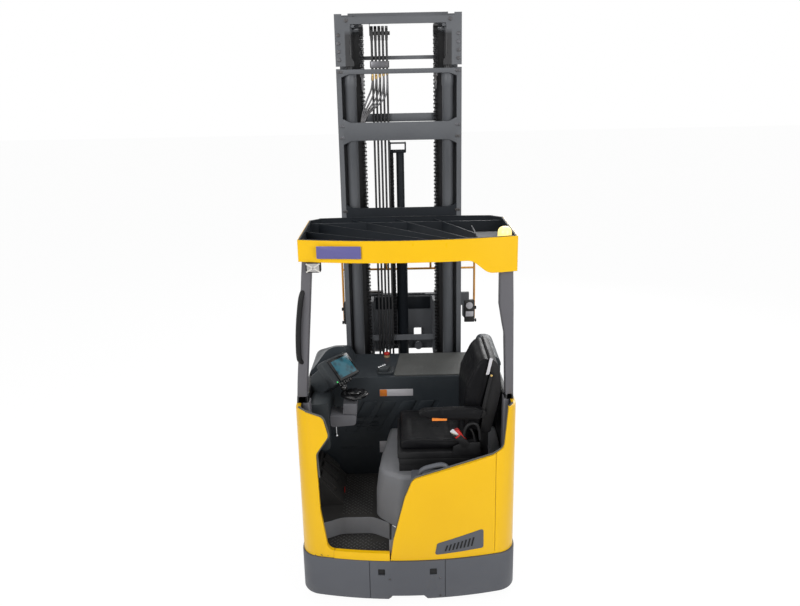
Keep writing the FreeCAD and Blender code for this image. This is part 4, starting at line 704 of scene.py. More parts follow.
def make_seat():
    swelled("seat_cushion_pad", cushion_form(), 7.0, 14.0, 3.0, cushion_held, SEAT_VINYL)
    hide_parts("seat_cushion")
    swelled("seat_back_pad", back_form(), 7.0, 16.0, 3.0, back_held, SEAT_VINYL)
    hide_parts("seat_back")
    swelled("armrest_pad", upright(ARM_FORM, 168, 228, 14, 12), 5.0, 8.0, 3.0, arm_held, SEAT_VINYL)
    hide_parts("seat_armrest")
    shell = [(432, 1030), (458, 1230), (486, 1370), (488, 1448), (476, 1480), (506, 1484), (532, 1452),
        (544, 1390), (552, 1310), (536, 1220), (492, 1030)]
    back_shell = upright(shell, 240, 675, 18, 10)
    piece("seat_back_shell", [back_shell], SHELL_PLASTIC)
    strip = upright([(461, 1394), (479, 1394), (500, 1490), (483, 1497)], 236, 241, 3, 1)
    piece("seat_side_strip", [strip], PALE_LABEL)
    bar = upright([(429, 1151), (452, 1150), (500, 1403), (483, 1404)], 222, 232, 8, 2)
    hinge = disc((440, 215, 1160), "Y", 26, 24, 4)
    pin = disc((491, 216, 1396), "Y", 7, 10, 2, 16)
    piece("seat_recline_bar", [bar, hinge], SHELL_PLASTIC)
    piece("seat_pins", [pin, disc((368, 212, 959), "Y", 10, 8, 2, 16)], BRASS)
    tray = oblong((-54, 420), (214, 700), (886, 925), 8, 3)
    low_tray = upright([(-44, 838), (-50, 880), (418, 880), (418, 838)], 222, 692, 8, 3)
    piece("seat_trays", [tray, low_tray], SHELL_PLASTIC)
    side_plate = upright([(268, 905), (272, 960), (330, 985), (430, 985), (430, 905)], 208, 216, 6, 2)
    arch = tube([(330, 212, 985), (332, 212, 1043), (352, 212, 1094), (390, 212, 1110),
        (424, 212, 1086), (430, 212, 1000)], 9)
    inner_arch = tube([(372, 212, 1070), (392, 212, 1050), (398, 212, 990)], 6)
    piece("seat_side_bracket", [side_plate, arch, inner_arch], SHELL_PLASTIC)
    buckle = slab(corners_of((-21, 21), (-46, 34)), 16, 6, 2)
    red_key = slab(corners_of((-16, 16), (30, 46)), 12, 3, 2)
    tongue = slab(corners_of((-13, 13), (40, 92)), 4, 4, 1)
    belt = ((buckle, "belt_buckle", SHELL_PLASTIC), (red_key, "belt_red_key", RED_PLASTIC),
        (tongue, "belt_tongue", BRIGHT_ROD))
    for part, name, finish in belt:
        piece(name, [stand(part, (322, 196, 1003), "Z", [(-42, "Y")])], finish)
    tag = oblong((148, 233), (163, 167), (1147, 1170), 3, 1)
    piece("armrest_tag", [tag], ORANGE_TAG)


# Leaf chains over the sheaves of the middle mast
CHAIN_PITCH = 25.4
CHAIN_PLATE = [(-4, -19), (4, -19), (7.5, -15), (7.5, -9), (5.5, 0), (7.5, 9), (7.5, 15), (4, 19),
    (-4, 19), (-7.5, 15), (-7.5, 9), (-5.5, 0), (-7.5, -9), (-7.5, -15)]


def chain_strand(x, y, z0, z1):
    link = bmesh.new()
    for step, offsets in ((0, (-12.5, -4.5, 3.5, 11.5)), (1, (-8.5, -0.5, 7.5))):
        for offset in offsets:
            points = [link.verts.new((offset / 1000.0, u / 1000.0, (v + step * CHAIN_PITCH) / 1000.0))
                for u, v in CHAIN_PLATE]
            drawn_out(link, [link.faces.new(points)], (0.0025, 0, 0))
        pin = bmesh.ops.create_cone(link, cap_ends=True, segments=6, radius1=0.0035, radius2=0.0035,
            depth=0.030)
        bmesh.ops.rotate(link, verts=pin["verts"], cent=(0, 0, 0),
            matrix=Matrix.Rotation(radians(90), 3, "Y"))
        middle = (step - 0.5) * CHAIN_PITCH
        bmesh.ops.translate(link, vec=(0, 0, middle / 1000.0), verts=pin["verts"])
    outward(link)
    parts = []
    z = z0 + 20
    while z < z1 - 20:
        part = link.copy()
        part.transform(Matrix.Translation(place(x, y, z)))
        parts.append(part)
        z += 2 * CHAIN_PITCH
    link.free()
    return parts


def make_chains():
    turn = turned([(26, -14), (36, -14), (36, 14), (26, 14), (26, -14)], (240, 1391, 3330), "X", 24)
    strands = chain_strand(240, 1423, 292, 3335) + chain_strand(240, 1359, 3072, 3335) + [turn]
    piece("leaf_chains", both(strands), CHAIN_STEEL, body="middle_mast", replaced=["mast_chains"])
    anchors = [block((228, 252), (1350, 1368), (3040, 3075), 4), hex_bolt((240, 1359, 3000), "Z", 20,
        14), disc((240, 1359, 2960), "Z", 7, 90, 1, 16)]
    piece("chain_anchors", both(anchors), DARK_STEEL, body="reach_carriage")


# Wheels: polyurethane treads on cast hubs
LOAD_WHEEL_X = 560.0
LOAD_WHEEL_Y = 1900
LOAD_WHEEL_Z = 142.5
DRIVE_WHEEL_PLACE = (120, 300, 171.5)


def ring_profile(upper):
    # A closed profile whose lower half mirrors the upper one
    lower = [(radius, -height) for radius, height in upper]
    return lower + upper[::-1] + lower[:1]


def bolt_circle(middle, radius, count, way, across, height):
    x, y, z = middle
    angles = [radians(360 / count * i) for i in range(count)]
    return [hex_bolt((x, y + radius * math.cos(angle), z + radius * math.sin(angle)), way, across, height)
        for angle in angles]


def make_wheels():
    for side, name in ((-1, "left_load_wheel"), (1, "right_load_wheel")):
        tread = ring_profile([(112, 41), (134, 41), (140, 36), (142.5, 28)])
        hub = ring_profile([(26, 30), (52, 30), (58, 26), (62, 18), (96, 18), (104, 34), (112.2, 36)])
        x = side * LOAD_WHEEL_X
        axle = (x, LOAD_WHEEL_Y, LOAD_WHEEL_Z)
        piece(name + "_tread", [turned(tread, axle, "X", 64)], WHEEL_TREAD, body=name, replaced=[name])
        bolts = bolt_circle((x + 18, LOAD_WHEEL_Y, LOAD_WHEEL_Z), 79, 6, "X", 13, 6)
        bolts += bolt_circle((x - 18, LOAD_WHEEL_Y, LOAD_WHEEL_Z), 79, 6, "-X", 13, 6)
        piece(name + "_hub", [turned(hub, axle, "X", 48)] + bolts, MAST_GREY, body=name)
    tread = ring_profile([(138, 68), (164, 68), (170, 60), (171.5, 50)])
    hub = [(31, -48), (66, -48), (72, -40), (78, -20), (118, -20), (128, -58), (138.2, -60),
        (138.2, 60), (128, 56), (118, 10), (78, 10), (72, 30), (60, 52), (31, 52), (31, -48)]
    x, y, z = DRIVE_WHEEL_PLACE
    piece("drive_wheel_tread", [turned(tread, DRIVE_WHEEL_PLACE, "X", 72)], WHEEL_TREAD,
        body="drive_wheel", replaced=["drive_wheel"])
    nuts = bolt_circle((x - 20, y, z), 98, 7, "-X", 22, 14)
    piece("drive_wheel_hub", [turned(hub, DRIVE_WHEEL_PLACE, "X", 48)] + nuts, CHASSIS_BLACK,
        body="drive_wheel")


# Guard fittings: beacon and work lamp
BEACON_PLACE = (556, 258, 2155)


def make_guard_fittings():
    base = [(0, 0), (44, 0), (44, 6), (41, 10), (41, 24), (38, 26), (0, 26)]
    dome = [(38, 26), (39, 30), (38, 62), (35, 76), (28, 86), (16, 92), (0, 94)]
    piece("beacon_dome", [turned(dome, BEACON_PLACE, "Z", 40)], AMBER_LENS, replaced=["beacon_lamp"])
    piece("beacon_base", [turned(base, BEACON_PLACE, "Z", 40)], GUARD_BLACK, slot="dark_plastic")
    piece("beacon_core", [disc((556, 258, 2181), "Z", 15, 50, 6, 20)], LAMP_GLOW)
    rim = oblong((-530, -446), (176, 212), (2028, 2086), 12, 6)
    face = oblong((-522, -454), (170, 178), (2035, 2080), 9, 3)
    cross = []
    for angle in (32, -32):
        rib = slab(corners_of((-44, 44), (-4, 4)), 2, 0, 1)
        cross.append(stand(rib, (-488, 168.5, 2057), "Z", [(angle, "Y")]))
    piece("work_lamp_case", [rim], SHELL_PLASTIC, replaced=["work_lamp"])
    piece("work_lamp_face", [face], LAMP_FACE)
    piece("work_lamp_ribs", cross, LAMP_FACE_RIB)
    bracket = block((-500, -476), (190, 206), (2080, 2088), 2)
    piece("work_lamp_bracket", [bracket], DARK_STEEL, slot="dark_paint")


# Dash fittings: display, knobs and lamp
DISPLAY_PLACE = (-390, 700, 1283)
DISPLAY_LEAN = 48
DISPLAY_TURN = -34


def on_dash(part, shift=(0, 0, 0)):
    # Parts are drawn flat round the middle of the display, then tipped to the dash's lean and turn
    part.transform(Matrix.Translation([value / 1000.0 for value in shift]))
    part.transform(turning(DISPLAY_LEAN, "Y"))
    part.transform(turning(DISPLAY_TURN, "Z"))
    part.transform(Matrix.Translation(place(*DISPLAY_PLACE)))
    return part


def flat(x, y, z, rounding=0.0):
    part = bmesh.new()
    bmesh.ops.create_cube(part, size=1.0)
    bmesh.ops.scale(part, vec=[(high - low) / 1000.0 for low, high in (x, y, z)], verts=part.verts)
    bmesh.ops.translate(part, vec=[(low + high) / 2000.0 for low, high in (x, y, z)], verts=part.verts)
    return soften(part, rounding)


def make_dash_fittings():
    bezel = flat((-76, 76), (-97, 97), (-2, 8), 4)
    piece("display_bezel", [on_dash(bezel)], GLOSS_BLACK, slot="screen_glass", replaced=["display_screen"])
    piece("display_picture", [on_dash(flat((-60, 60), (-80, 80), (7.5, 8.6), 0.3))], SCREEN_PICTURE)
    knobs = [on_dash(turned([(14, -3), (14, 3), (10, 5), (9, 15), (7, 17), (0, 17)], steps=20), shift)
        for shift in ((92, -60, 0), (92, -105, 0), (92, -20, 0))]
    piece("dash_knobs", knobs, GLOSS_BLACK)
    lamp = turned([(5, 0), (5, 3), (3, 5), (0, 6)], steps=12)
    piece("dash_green_lamp", [on_dash(lamp, (70, -120, -2))], GREEN_LAMP)


# Blank labels on the hood's rear wall
def make_console_fittings():
    plate = oblong((-167, 52), (826.5, 829.5), (1024, 1072), 4, 1)
    piece("hood_plate", [plate], PALE_LABEL)
    square = oblong((-166, -119), (825.6, 827), (1025, 1071), 4, 0.4)
    piece("hood_plate_end", [square], ORANGE_TAG)
    wall_plate = oblong((-177, -126), (827, 829.6), (617, 699), 4, 1)
    piece("wall_plate", [wall_plate], PALE_LABEL)


# More shapes: rounded outlines, lofts, cuts and the body's own plan
def rounded(rows, steps=6):
    # Rows are (u, v, radius); gives the outline's points with its arcs drawn in
    spots = []
    for i, (u, v, radius) in enumerate(rows):
        here = Vector((u, v))
        if radius <= 0:
            spots.append((u, v))
            continue
        back = (Vector(rows[i - 1][:2]) - here).normalized()
        ahead = (Vector(rows[(i + 1) % len(rows)][:2]) - here).normalized()
        half = back.angle(ahead) / 2
        reach = radius / math.tan(half)
        centre = here + (back + ahead).normalized() * (radius / math.sin(half))
        start = here + back * reach - centre
        end = here + ahead * reach - centre
        for k in range(steps + 1):
            spots.append(tuple(centre + start.slerp(end, k / steps) * radius))
    return spots


def lofted(sections):
    # Sections are (z, corners); all have the same number of corners
    part = bmesh.new()
    ends = []
    for z, corners in sections:
        ends.append(part.faces.new([part.verts.new(place(x, y, z)) for x, y in corners]))
    rims = [list(end.edges) for end in ends]
    bmesh.ops.delete(part, geom=ends[1:-1], context="FACES_ONLY")
    for low, high in zip(rims, rims[1:]):
        bmesh.ops.bridge_loops(part, edges=low + high)
    return outward(part)


def as_object(part):
    return in_scene("blank", mesh_from(part, "blank"))


def carve(part, tools, operation="DIFFERENCE"):
    base = as_object(part)
    blanks = [as_object(tool) for tool in tools]
    for blank in blanks:
        cut = base.modifiers.new("cut", "BOOLEAN")
        cut.operation = operation
        cut.solver = "EXACT"
        cut.object = blank
    result = part_from(drawn_mesh(base))
    for holder in blanks + [base]:
        data = holder.data
        bpy.data.objects.remove(holder)
        bpy.data.meshes.remove(data)
    return merged(result, 0.00002)


BOW_RADIUS = 2283.0
HALF_WIDTH = 635.0
CORNER_X = 505.0
CORNER_Y = 190.07
CORNER_RADIUS = 130.0
CORNER_SWEEP = radians(-76.43)


def body_outline(inset, y_end):
    # The body's plan drawn in by inset, from the right front round the rear to the left front
    radius = CORNER_RADIUS - inset
    half = [(HALF_WIDTH - inset, y_end)]
    for k in range(11):
        angle = CORNER_SWEEP * k / 10
        half.append((CORNER_X + radius * math.cos(angle), CORNER_Y + radius * math.sin(angle)))
    for k in range(1, 14):
        angle = CORNER_SWEEP - (radians(90) + CORNER_SWEEP) * k / 13
        bow = BOW_RADIUS - inset
        half.append((bow * math.cos(angle), BOW_RADIUS + bow * math.sin(angle)))
    return half + [(-x, y) for x, y in reversed(half[:-1])]


def body_ring(inset, wall, z0, z1, y_end, rounding=0.0):
    corners = body_outline(inset, y_end) + list(reversed(body_outline(inset + wall, y_end)))
    return level(corners, z0, z1, 0, rounding)


def skin_y(x, inset):
    # How far forward the body's outer skin lies at x
    if abs(x) <= CORNER_X:
        return BOW_RADIUS - math.sqrt((BOW_RADIUS - inset) ** 2 - x * x)
    return CORNER_Y - math.sqrt(max(0.0, (CORNER_RADIUS - inset) ** 2 - (abs(x) - CORNER_X) ** 2))


def follow_skin(part, inset, pitch=24.0):
    # Cuts a flat part into strips and lays it on the body's rear bow
    low = min(vertex.co.x for vertex in part.verts)
    high = max(vertex.co.x for vertex in part.verts)
    x = low + pitch / 1000.0
    while x < high:
        bmesh.ops.bisect_plane(part, geom=list(part.verts) + list(part.edges) + list(part.faces),
            plane_co=(x, 0, 0), plane_no=(1, 0, 0))
        x += pitch / 1000.0
    for vertex in part.verts:
        vertex.co.y += skin_y(vertex.co.x * 1000.0, inset) / 1000.0
    return part


# Body panels, bumper and vent
RIGHT_PANEL_EDGE = [(-112, 300, 0), (-84, 480, 60), (-16, 745, 60), (30, 860, 60), (490, 975, 60),
    (552, 1012, 50), (575, 1253, 0), (700, 1253, 0), (700, 300, 0)]
LEFT_PANEL_EDGE = [(-700, 300, 0), (-700, 1253, 0), (-575, 1253, 0), (-466, 1226, 40), (-438, 1115, 40),
    (-514, 1000, 60), (-505, 640, 200), (-468, 385, 45), (-437.5, 385, 0), (-437.5, 300, 0)]
PANEL_BOTTOM = 336.0
PANEL_CREST = 1252.0


def body_side(inset, wall, edge, rounding):
    ring = body_ring(inset, wall, PANEL_BOTTOM, PANEL_CREST, 857, rounding)
    side = carve(ring, [upright(rounded(edge), -40, 900)], "INTERSECT")
    lowered = block((-700, 700), (291, 900), (1168, 1300))
    return carve(side, [lowered])


def edge_trim(rows, inset, radius):
    points = [(x, skin_y(x, inset), z) for x, z in rows]
    return tube(points, radius, rings=6)


def make_body():
    seam_right = block((505, 507), (-20, 140), (356, 985), 0)
    groove = carve(body_side(8, 28, RIGHT_PANEL_EDGE, 4), [seam_right])
    piece("right_panel_skin", [groove], TRUCK_YELLOW, replaced=["right_body_panel"], angle=30)
    piece("left_panel_skin", [body_side(8, 28, LEFT_PANEL_EDGE, 4)], TRUCK_YELLOW,
        replaced=["left_body_panel"], angle=30)
    liners = [body_side(36.4, 3, RIGHT_PANEL_EDGE, 0), body_side(36.4, 3, LEFT_PANEL_EDGE, 0)]
    liners += both([block((598.6, 626.8), (291.5, 855), (1167, 1173), 2)])
    piece("panel_liners", liners, SHELL_PLASTIC)
    left_rows = rounded([(-606, 1254, 0), (-560, 1248, 20), (-463, 1226, 40), (-435, 1115, 40),
        (-511, 1000, 60), (-503, 850, 0)])
    right_rows = rounded([(603, 1254, 0), (578, 1250, 12), (554, 1012, 50), (490, 978, 60),
        (30, 863, 60), (-16, 748, 60), (-83, 483, 0)])
    trims = [edge_trim(left_rows, 22, 7), edge_trim(right_rows, 26, 6)]
    piece("panel_trims", trims, COVER_PLASTIC)


SCREW_PLACES = [(-112, 217), (-112, 99), (184, 217), (184, 99)]
BUMPER_SEAMS = (-230, 212)
BUMPER_SLOTS = ((-180, -140), (122, 163))


def make_bumper():
    shell = body_ring(0, 40, 80, 335, 858, 5)
    notch = upright([(-124, 70), (112, 70), (112, 79), (86, 105), (-98, 105), (-124, 79)], -20, 60)
    cuts = [notch]
    for x in BUMPER_SEAMS:
        cuts.append(block((x - 1.5, x + 1.5), (-20, skin_y(x, 0) + 5), (70, 345)))
    for x0, x1 in BUMPER_SLOTS:
        cuts.append(block((x0, x1), (-20, skin_y(x0, 0) + 22), (243, 284), 3, 1))
    piece("bumper_shell", [carve(shell, cuts)], BUMPER_GREY, replaced=["bumper_skirt"], angle=30)
    backs = [block((x0 + 0.5, x1 - 0.5), (skin_y(x0, 0) + 7, skin_y(x0, 0) + 21), (243.5, 283.5))
        for x0, x1 in BUMPER_SLOTS]
    piece("bumper_slot_backs", backs, SHELL_PLASTIC)
    screws = [round_screw((x, skin_y(x, 0) - 0.5, z), "-Y", 15) for x, z in SCREW_PLACES]
    piece("bumper_screws", screws, DARK_STEEL)


VENT_EDGE = [(152, 370, 12), (166, 444, 14), (437, 515, 14), (438, 389, 14)]


def make_vent():
    plate = follow_skin(upright(rounded(VENT_EDGE, 3), -3, 3, 0, 1.5), 8)
    piece("vent_plate", [plate], BUMPER_GREY, slot="dark_plastic", replaced=["vent_grille"])
    fins = []
    for k in range(8):
        x = 209 + 22 * k
        low = 391 + 2.9 * k
        high = 428 + 5.4 * k
        fin = [(x, low), (x + 9, low), (x + 21, high), (x + 12, high)]
        fins.append(follow_skin(upright(fin, -6, -2, 0, 1), 8))
    piece("vent_fins", fins, SHELL_PLASTIC)


# Pedestal, step and floor
def make_pedestal():
    low = rounded([(-64, 158, 70), (-190, 300, 110), (-188, 480, 160), (-150, 829, 0), (598, 829, 0),
        (592, 160, 0)], 10)
    high = rounded([(-30, 158, 90), (-168, 240, 110), (-150, 460, 160), (-100, 829, 0), (598, 829, 0),
        (592, 160, 0)], 10)
    swollen = [((x1 + x2) / 2 - 9, (y1 + y2) / 2 - 4) for (x1, y1), (x2, y2) in zip(low, high)]
    body = lofted([(460, low), (640, swollen), (800, high)])
    soften(body, 26, 4, [edge for edge in body.edges if min(v.co.z for v in edge.verts) > 0.799])
    shelf = block((22, 276), (42, 170), (800, 842), 14, 3)
    loop = tube([(60, 70, 820), (66, 64, 868), (90, 62, 900), (140, 62, 914), (196, 62, 926),
        (226, 63, 912), (240, 66, 868), (244, 72, 820)], 14, rings=6)
    piece("grab_loop", [shelf, loop], BUMPER_GREY, replaced=["grab_handle"])
    piece("pedestal_shell", [body], PEDESTAL_PLASTIC, replaced=["seat_pedestal"], angle=50)
    step_plan = rounded([(-112, 37, 0), (-112, 214, 4), (-72, 160, 20), (-60, 37, 0)])
    corner = lofted([(336, step_plan), (459.6, step_plan)])
    piece("step_corner", [corner], PEDESTAL_PLASTIC)
    outer = rounded([(-559.5, 124, 0), (-559.5, 200, 60), (-400, 284.5, 90), (-210, 284.5, 90),
        (-112.5, 216, 0)])
    inner = rounded([(-556.5, 124, 0), (-556.5, 198.5, 57), (-399, 281.5, 87), (-211, 281.5, 87),
        (-112.5, 212.5, 0)])
    piece("riser_skin", [level(outer + inner[::-1], 348, 460.5)], PEDESTAL_PLASTIC)


def tread_marks(x0, x1, y0, y1, z, pitch, keep):
    marks = []
    row = 0
    y = y0
    while y < y1:
        x = x0 + (row % 2) * pitch
        while x < x1:
            if keep(x, y):
                lean = 45 if row % 2 else -45
                bar = slab([(-9, 0), (-5, -2.2), (5, -2.2), (9, 0), (5, 2.2), (-5, 2.2)], 1.8, 0, 0)
                marks.append(stand(bar, (x, y, z), "Z", [(90, "X"), (lean, "Z")]))
            x += 2 * pitch
        y += pitch
        row += 1
    return marks


def make_floor():
    marks = tread_marks(-545, -125, 62, 270, 348.6, 17, lambda x, y: y < 190 or -470 < x < -215)
    marks += tread_marks(-395, -215, 325, 800, 461.6, 17, lambda x, y: True)
    piece("floor_tread_marks", marks, COVER_PLASTIC)
    pads = []
    for y in (470, 600, 710):
        for k in range(5):
            x = -535 + 17 * k
            z = 642 - 17.8 * k
            pads.append(block((x, x + 7), (y + 6, y + 64), (z - 3, z + 3), 1.5, 1))
    piece("pedal_ribs", pads, SHELL_PLASTIC)
    piece("pedal_tag", [block((-404, -399), (560, 590), (470, 500), 2)], RED_PLASTIC)


# Guard: dark lining, fanned slats, corner deck and bare name plate
GUARD_LEFT = -570.0
GUARD_RIGHT = 622.0
GUARD_MIDDLE = (GUARD_LEFT + GUARD_RIGHT) / 2


def arc_through(start, middle, end, steps):
    # Points on the circle through three places in plan
    (x1, y1), (x2, y2), (x3, y3) = start, middle, end
    d = 2 * (x1 * (y2 - y3) + x2 * (y3 - y1) + x3 * (y1 - y2))
    a, b, c = x1 * x1 + y1 * y1, x2 * x2 + y2 * y2, x3 * x3 + y3 * y3
    centre = Vector(((a * (y2 - y3) + b * (y3 - y1) + c * (y1 - y2)) / d,
        (a * (x3 - x2) + b * (x1 - x3) + c * (x2 - x1)) / d))
    first = Vector(start) - centre
    last = Vector(end) - centre
    return [tuple(centre + first.slerp(last, k / steps) * first.length) for k in range(steps + 1)]


def guard_outline(inset):
    left = GUARD_LEFT + inset
    right = GUARD_RIGHT - inset
    near_end = 206.0 + inset
    far_end = 860.0 - inset
    near = arc_through((left, near_end), (GUARD_MIDDLE, 126.0 + inset), (right, near_end), 24)
    far = arc_through((right - 60, far_end), (GUARD_MIDDLE, 880.0 - inset), (left + 60, far_end), 12)
    return near + [(right, far_end - 60)] + far + [(left, far_end - 60)]


def guard_hoop(inset, wall, z0, z1, y_from=0.0):
    # A ring of flat faces between two outlines, raised to its height
    part = bmesh.new()
    discs = [part.faces.new([part.verts.new(place(x, y, z0)) for x, y in guard_outline(step)])
        for step in (inset, inset + wall)]
    rims = [edge for ring in discs for edge in ring.edges]
    bmesh.ops.delete(part, geom=discs, context="FACES_ONLY")
    bmesh.ops.bridge_loops(part, edges=rims)
    low_y = (y_from - REAR_EDGE) / 1000.0
    near = [face for face in part.faces if min(spot.co.y for spot in face.verts) < low_y]
    bmesh.ops.delete(part, geom=near, context="FACES")
    drawn_out(part, list(part.faces), (0, 0, (z1 - z0) / 1000.0))
    return outward(part)


SLATS = [(-1160.0, 30.0), (-660.0, 235.0), (-330.0, 330.0), (-50.0, 415.0), (190.0, 500.0)]


def make_guard():
    lining = guard_hoop(12.2, 3, 2087, 2204)
    cap = guard_hoop(5, 10.2, 2203, 2206.5)
    far_wrap = guard_hoop(-1.5, 14, 2084, 2206.5, 790.0)
    inside = level(guard_outline(12), 2100, 2300)
    slats = []
    for far_x, near_x in SLATS:
        ways = [(far_x, 880), (far_x + 8, 880), (near_x + 8, 126), (near_x, 126)]
        slats.append(carve(level(ways, 2133, 2193), [inside.copy()], "INTERSECT"))
    corner = block((405, 700), (100, 600), (2000, 2300))
    slats = [carve(slat, [corner.copy()]) for slat in slats]
    corner.free()
    cross = carve(block((-600, 700), (750, 762), (2133, 2193)), [inside.copy()], "INTERSECT")
    corner_deck = level(corners_of((405, 700), (100, 600)), 2147, 2155)
    deck = carve(corner_deck, [inside.copy()], "INTERSECT")
    sides = [block((405, 411), (174, 600), (2133, 2193), 1)]
    sides.append(block((405, 609), (594, 600), (2133, 2156), 1))
    inside.free()
    piece("guard_slats_fan", [lining, cap, far_wrap, cross, deck] + slats, GUARD_BLACK,
        replaced=["guard_slats"], angle=30)
    piece("guard_deck_rim", sides, GUARD_BLACK)
    plate = slab(corners_of((-121, 121), (-34, 34)), 2, 3, 0.6)
    piece("guard_name_plate", [stand(plate, (-345, 144.5, 2144), "Z", [(-7, "Z")])], PLATE_VIOLET)


# Posts and grip
def post_part(rows):
    # Rows are (z, x0, x1): the post's span at each height
    sections = []
    for z, x0, x1 in rows:
        sections.append((z, rounded([(x, y, 10) for x, y in corners_of((x0, x1), (215, 290))], 4)))
    return lofted(sections)


def make_posts():
    left = post_part([(900, -598, -550), (1250, -598, -550), (1256, -624, -566), (1377, -616, -558),
        (2005, -561, -506), (2084, -554, -500)])
    piece("left_post_skin", [left], PILLAR_GREY, replaced=["left_post"], angle=50)
    right = post_part([(900, 560, 598), (1250, 560, 598), (1256, 573, 619), (1640, 560, 612),
        (1690, 550, 611), (1810, 530, 609), (2009, 529, 603)])
    piece("right_post_skin", [right], PILLAR_GREY, replaced=["right_post"], angle=50)
    grip = tube([(-545, 250, 1935), (-560, 215, 1905), (-571, 200, 1862), (-592, 198, 1700),
        (-598, 200, 1545), (-592, 215, 1500), (-560, 250, 1480)], 15, rings=6)
    piece("post_grip", [grip], SHELL_PLASTIC)
    # Painted shade: the feet at the posts' bases are gloss black to stand for the shade there
    foot = post_part([(1252, -626, -556), (1262, -625, -558), (1290, -623, -560)])
    foot_right = post_part([(1252, 568, 622), (1262, 570, 620), (1285, 573, 618)])
    piece("post_feet_painted_shade", [foot, foot_right], GLOSS_BLACK)


# Mast skins: narrow rear flanges, flared cross plates and fat lift cylinders
MAST_REAR_Y = 1310
PLATE_BOLT_HEIGHTS = (3075, 2660, 2735, 2083, 2171, 190, 290)


def cross_plate(low, high, low_flare, high_flare):
    low_bend = 40 if low_flare else 0
    high_bend = 40 if high_flare else 0
    rows = [(-373, low - low_flare, 0), (-323, low, low_bend), (323, low, low_bend),
        (373, low - low_flare, 0), (373, high + high_flare, 0), (323, high, high_bend),
        (-323, high, high_bend), (-373, high + high_flare, 0)]
    return upright(rounded(rows, 4), MAST_REAR_Y, MAST_REAR_Y + 14, 0, 1.5)


def make_mast():
    section = [(405, 1310), (405, 1585), (350, 1585), (350, 1571), (393, 1571), (393, 1419),
        (350, 1419), (350, 1405), (393, 1405), (393, 1324), (373, 1324), (373, 1310)]
    plates = [cross_plate(3061, 3091, 18, 0), cross_plate(2639, 2756, 25, 25), cross_plate(150, 330, 0, 0)]
    # Painted shade: the lowest cross plate takes the near black guard paint, while the other cross plates
    # stay mast grey
    piece("outer_mast_low_plate_painted_shade", [cross_plate(2062, 2192, 25, 25)], GUARD_BLACK, body="reach_carriage")
    piece("outer_mast_skin", both([level(section, 110, 3095, 0, 1.2)]) + plates, MAST_GREY,
        body="reach_carriage", replaced=["outer_mast"], angle=30)
    barrel = turned([(23.2, 60), (38, 60), (38, 2870), (41, 2874), (41, 2948), (38, 2953), (23.2, 2953),
        (23.2, 60)], (318, 1365, 110), "Z", 40)
    foot = block((278, 393), (1327, 1403), (110, 170), 5)
    piece("lift_cylinder_skins", both([barrel, foot]), MAST_GREY, slot="dark_paint",
        body="reach_carriage", replaced=["lift_cylinders"])
    tie = block((-239, 239), (1442.5, 1455.5), (2752, 2806), 3)
    piece("inner_mast_tie", [tie], MAST_GREY, body="inner_mast")
    bolts = [hex_bolt((x, MAST_REAR_Y, z), "-Y", 14, 7) for x in (372, 388) for z in PLATE_BOLT_HEIGHTS]
    piece("mast_plate_bolts", both(bolts), DARK_STEEL, body="reach_carriage")
    ears = [hex_bolt((383, MAST_REAR_Y, z), "-Y", 18, 9) for z in (3150, 3200, 3250, 3300)]
    ears.append(hex_bolt((330, MAST_REAR_Y, 3388), "-Y", 18, 9))
    piece("head_bolts", both(ears), DARK_STEEL, body="middle_mast")


# Free lift unit: barrel, rod and yoke, with a chain strand and strip that ride on its head
FREE_LIFT_PLACE = (-2, 1511, 180)
STRAND_SPAN = (1150, 2545)


def make_free_lift():
    barrel = turned([(28, 40), (39, 40), (39, 1740), (43, 1746), (43, 1806), (39, 1810), (28, 1810),
        (28, 40)], FREE_LIFT_PLACE, "Z", 40)
    piece("free_lift_barrel", [barrel, disc(FREE_LIFT_PLACE, "Z", 46, 45, 4)], GUARD_BLACK,
        body="inner_mast", replaced=["free_lift_cylinder"])
    strand = chain_strand(-61, 1490, *STRAND_SPAN)
    piece("free_lift_chain", strand, CHAIN_STEEL, body="free_lift_head")
    backing = block((-78, -48), (1516, 1522), STRAND_SPAN, 2)
    piece("free_lift_strip", [backing], GUARD_BLACK, body="free_lift_head")
    cheek = corners_of((1470, 1560), (2545, 2610))
    cheeks = [sideways(cheek, x, x + 10, 6, 1) for x in (-74, 30)]
    low_bar = block((-72, 38), (1476, 1530), (2540, 2560), 4)
    high_bar = block((-72, 38), (1472, 1530), (2602, 2610), 3)
    bars = [low_bar, high_bar]
    rod_part = disc((-2, 1511, 700), "Z", 27.5, 1842, 2, 32)
    piece("free_lift_yoke", cheeks + bars, GUARD_BLACK, body="free_lift_head", replaced=["free_lift_head"])
    piece("free_lift_rod", [rod_part], GUARD_BLACK, body="free_lift_head")


# Hoses: brass ends and pipes
HOSE_PLACES = [-172, -148, -124, -100, -76]
HOSE_Y = 1343


def make_hose_fittings():
    fittings = []
    for i, x in enumerate(HOSE_PLACES):
        low = 3020 + 9 * i
        fittings.append(disc((x, HOSE_Y, low), "Z", 9, 26, 2, 6))
        fittings.append(disc((x, HOSE_Y, low + 26), "Z", 7, 20, 1, 16))
    piece("hose_fittings", fittings, BRASS, body="middle_mast")
    pipes = []
    for i, x in enumerate(HOSE_PLACES):
        spread = 6 * i
        path = [(x, 3060), (x, 2980), (x - 40 + spread, 2900), (-250 + spread, 2800),
            (-262 + spread, 2700), (-262 + spread, 2660)]
        pipes.append(tube([(u, HOSE_Y, v) for u, v in path], 5.5))
    piece("mast_pipes", pipes, DARK_STEEL, body="reach_carriage")
    clamp = [block((-182, -66), (1328, 1336), (3096, 3140), 3)]
    piece("hose_clamp", clamp, DARK_STEEL, body="middle_mast")


# Load backrest and carriage
BACKREST_Y = 1706
BACKREST_MIDDLE = 1670
BACKREST_TOP = 2005


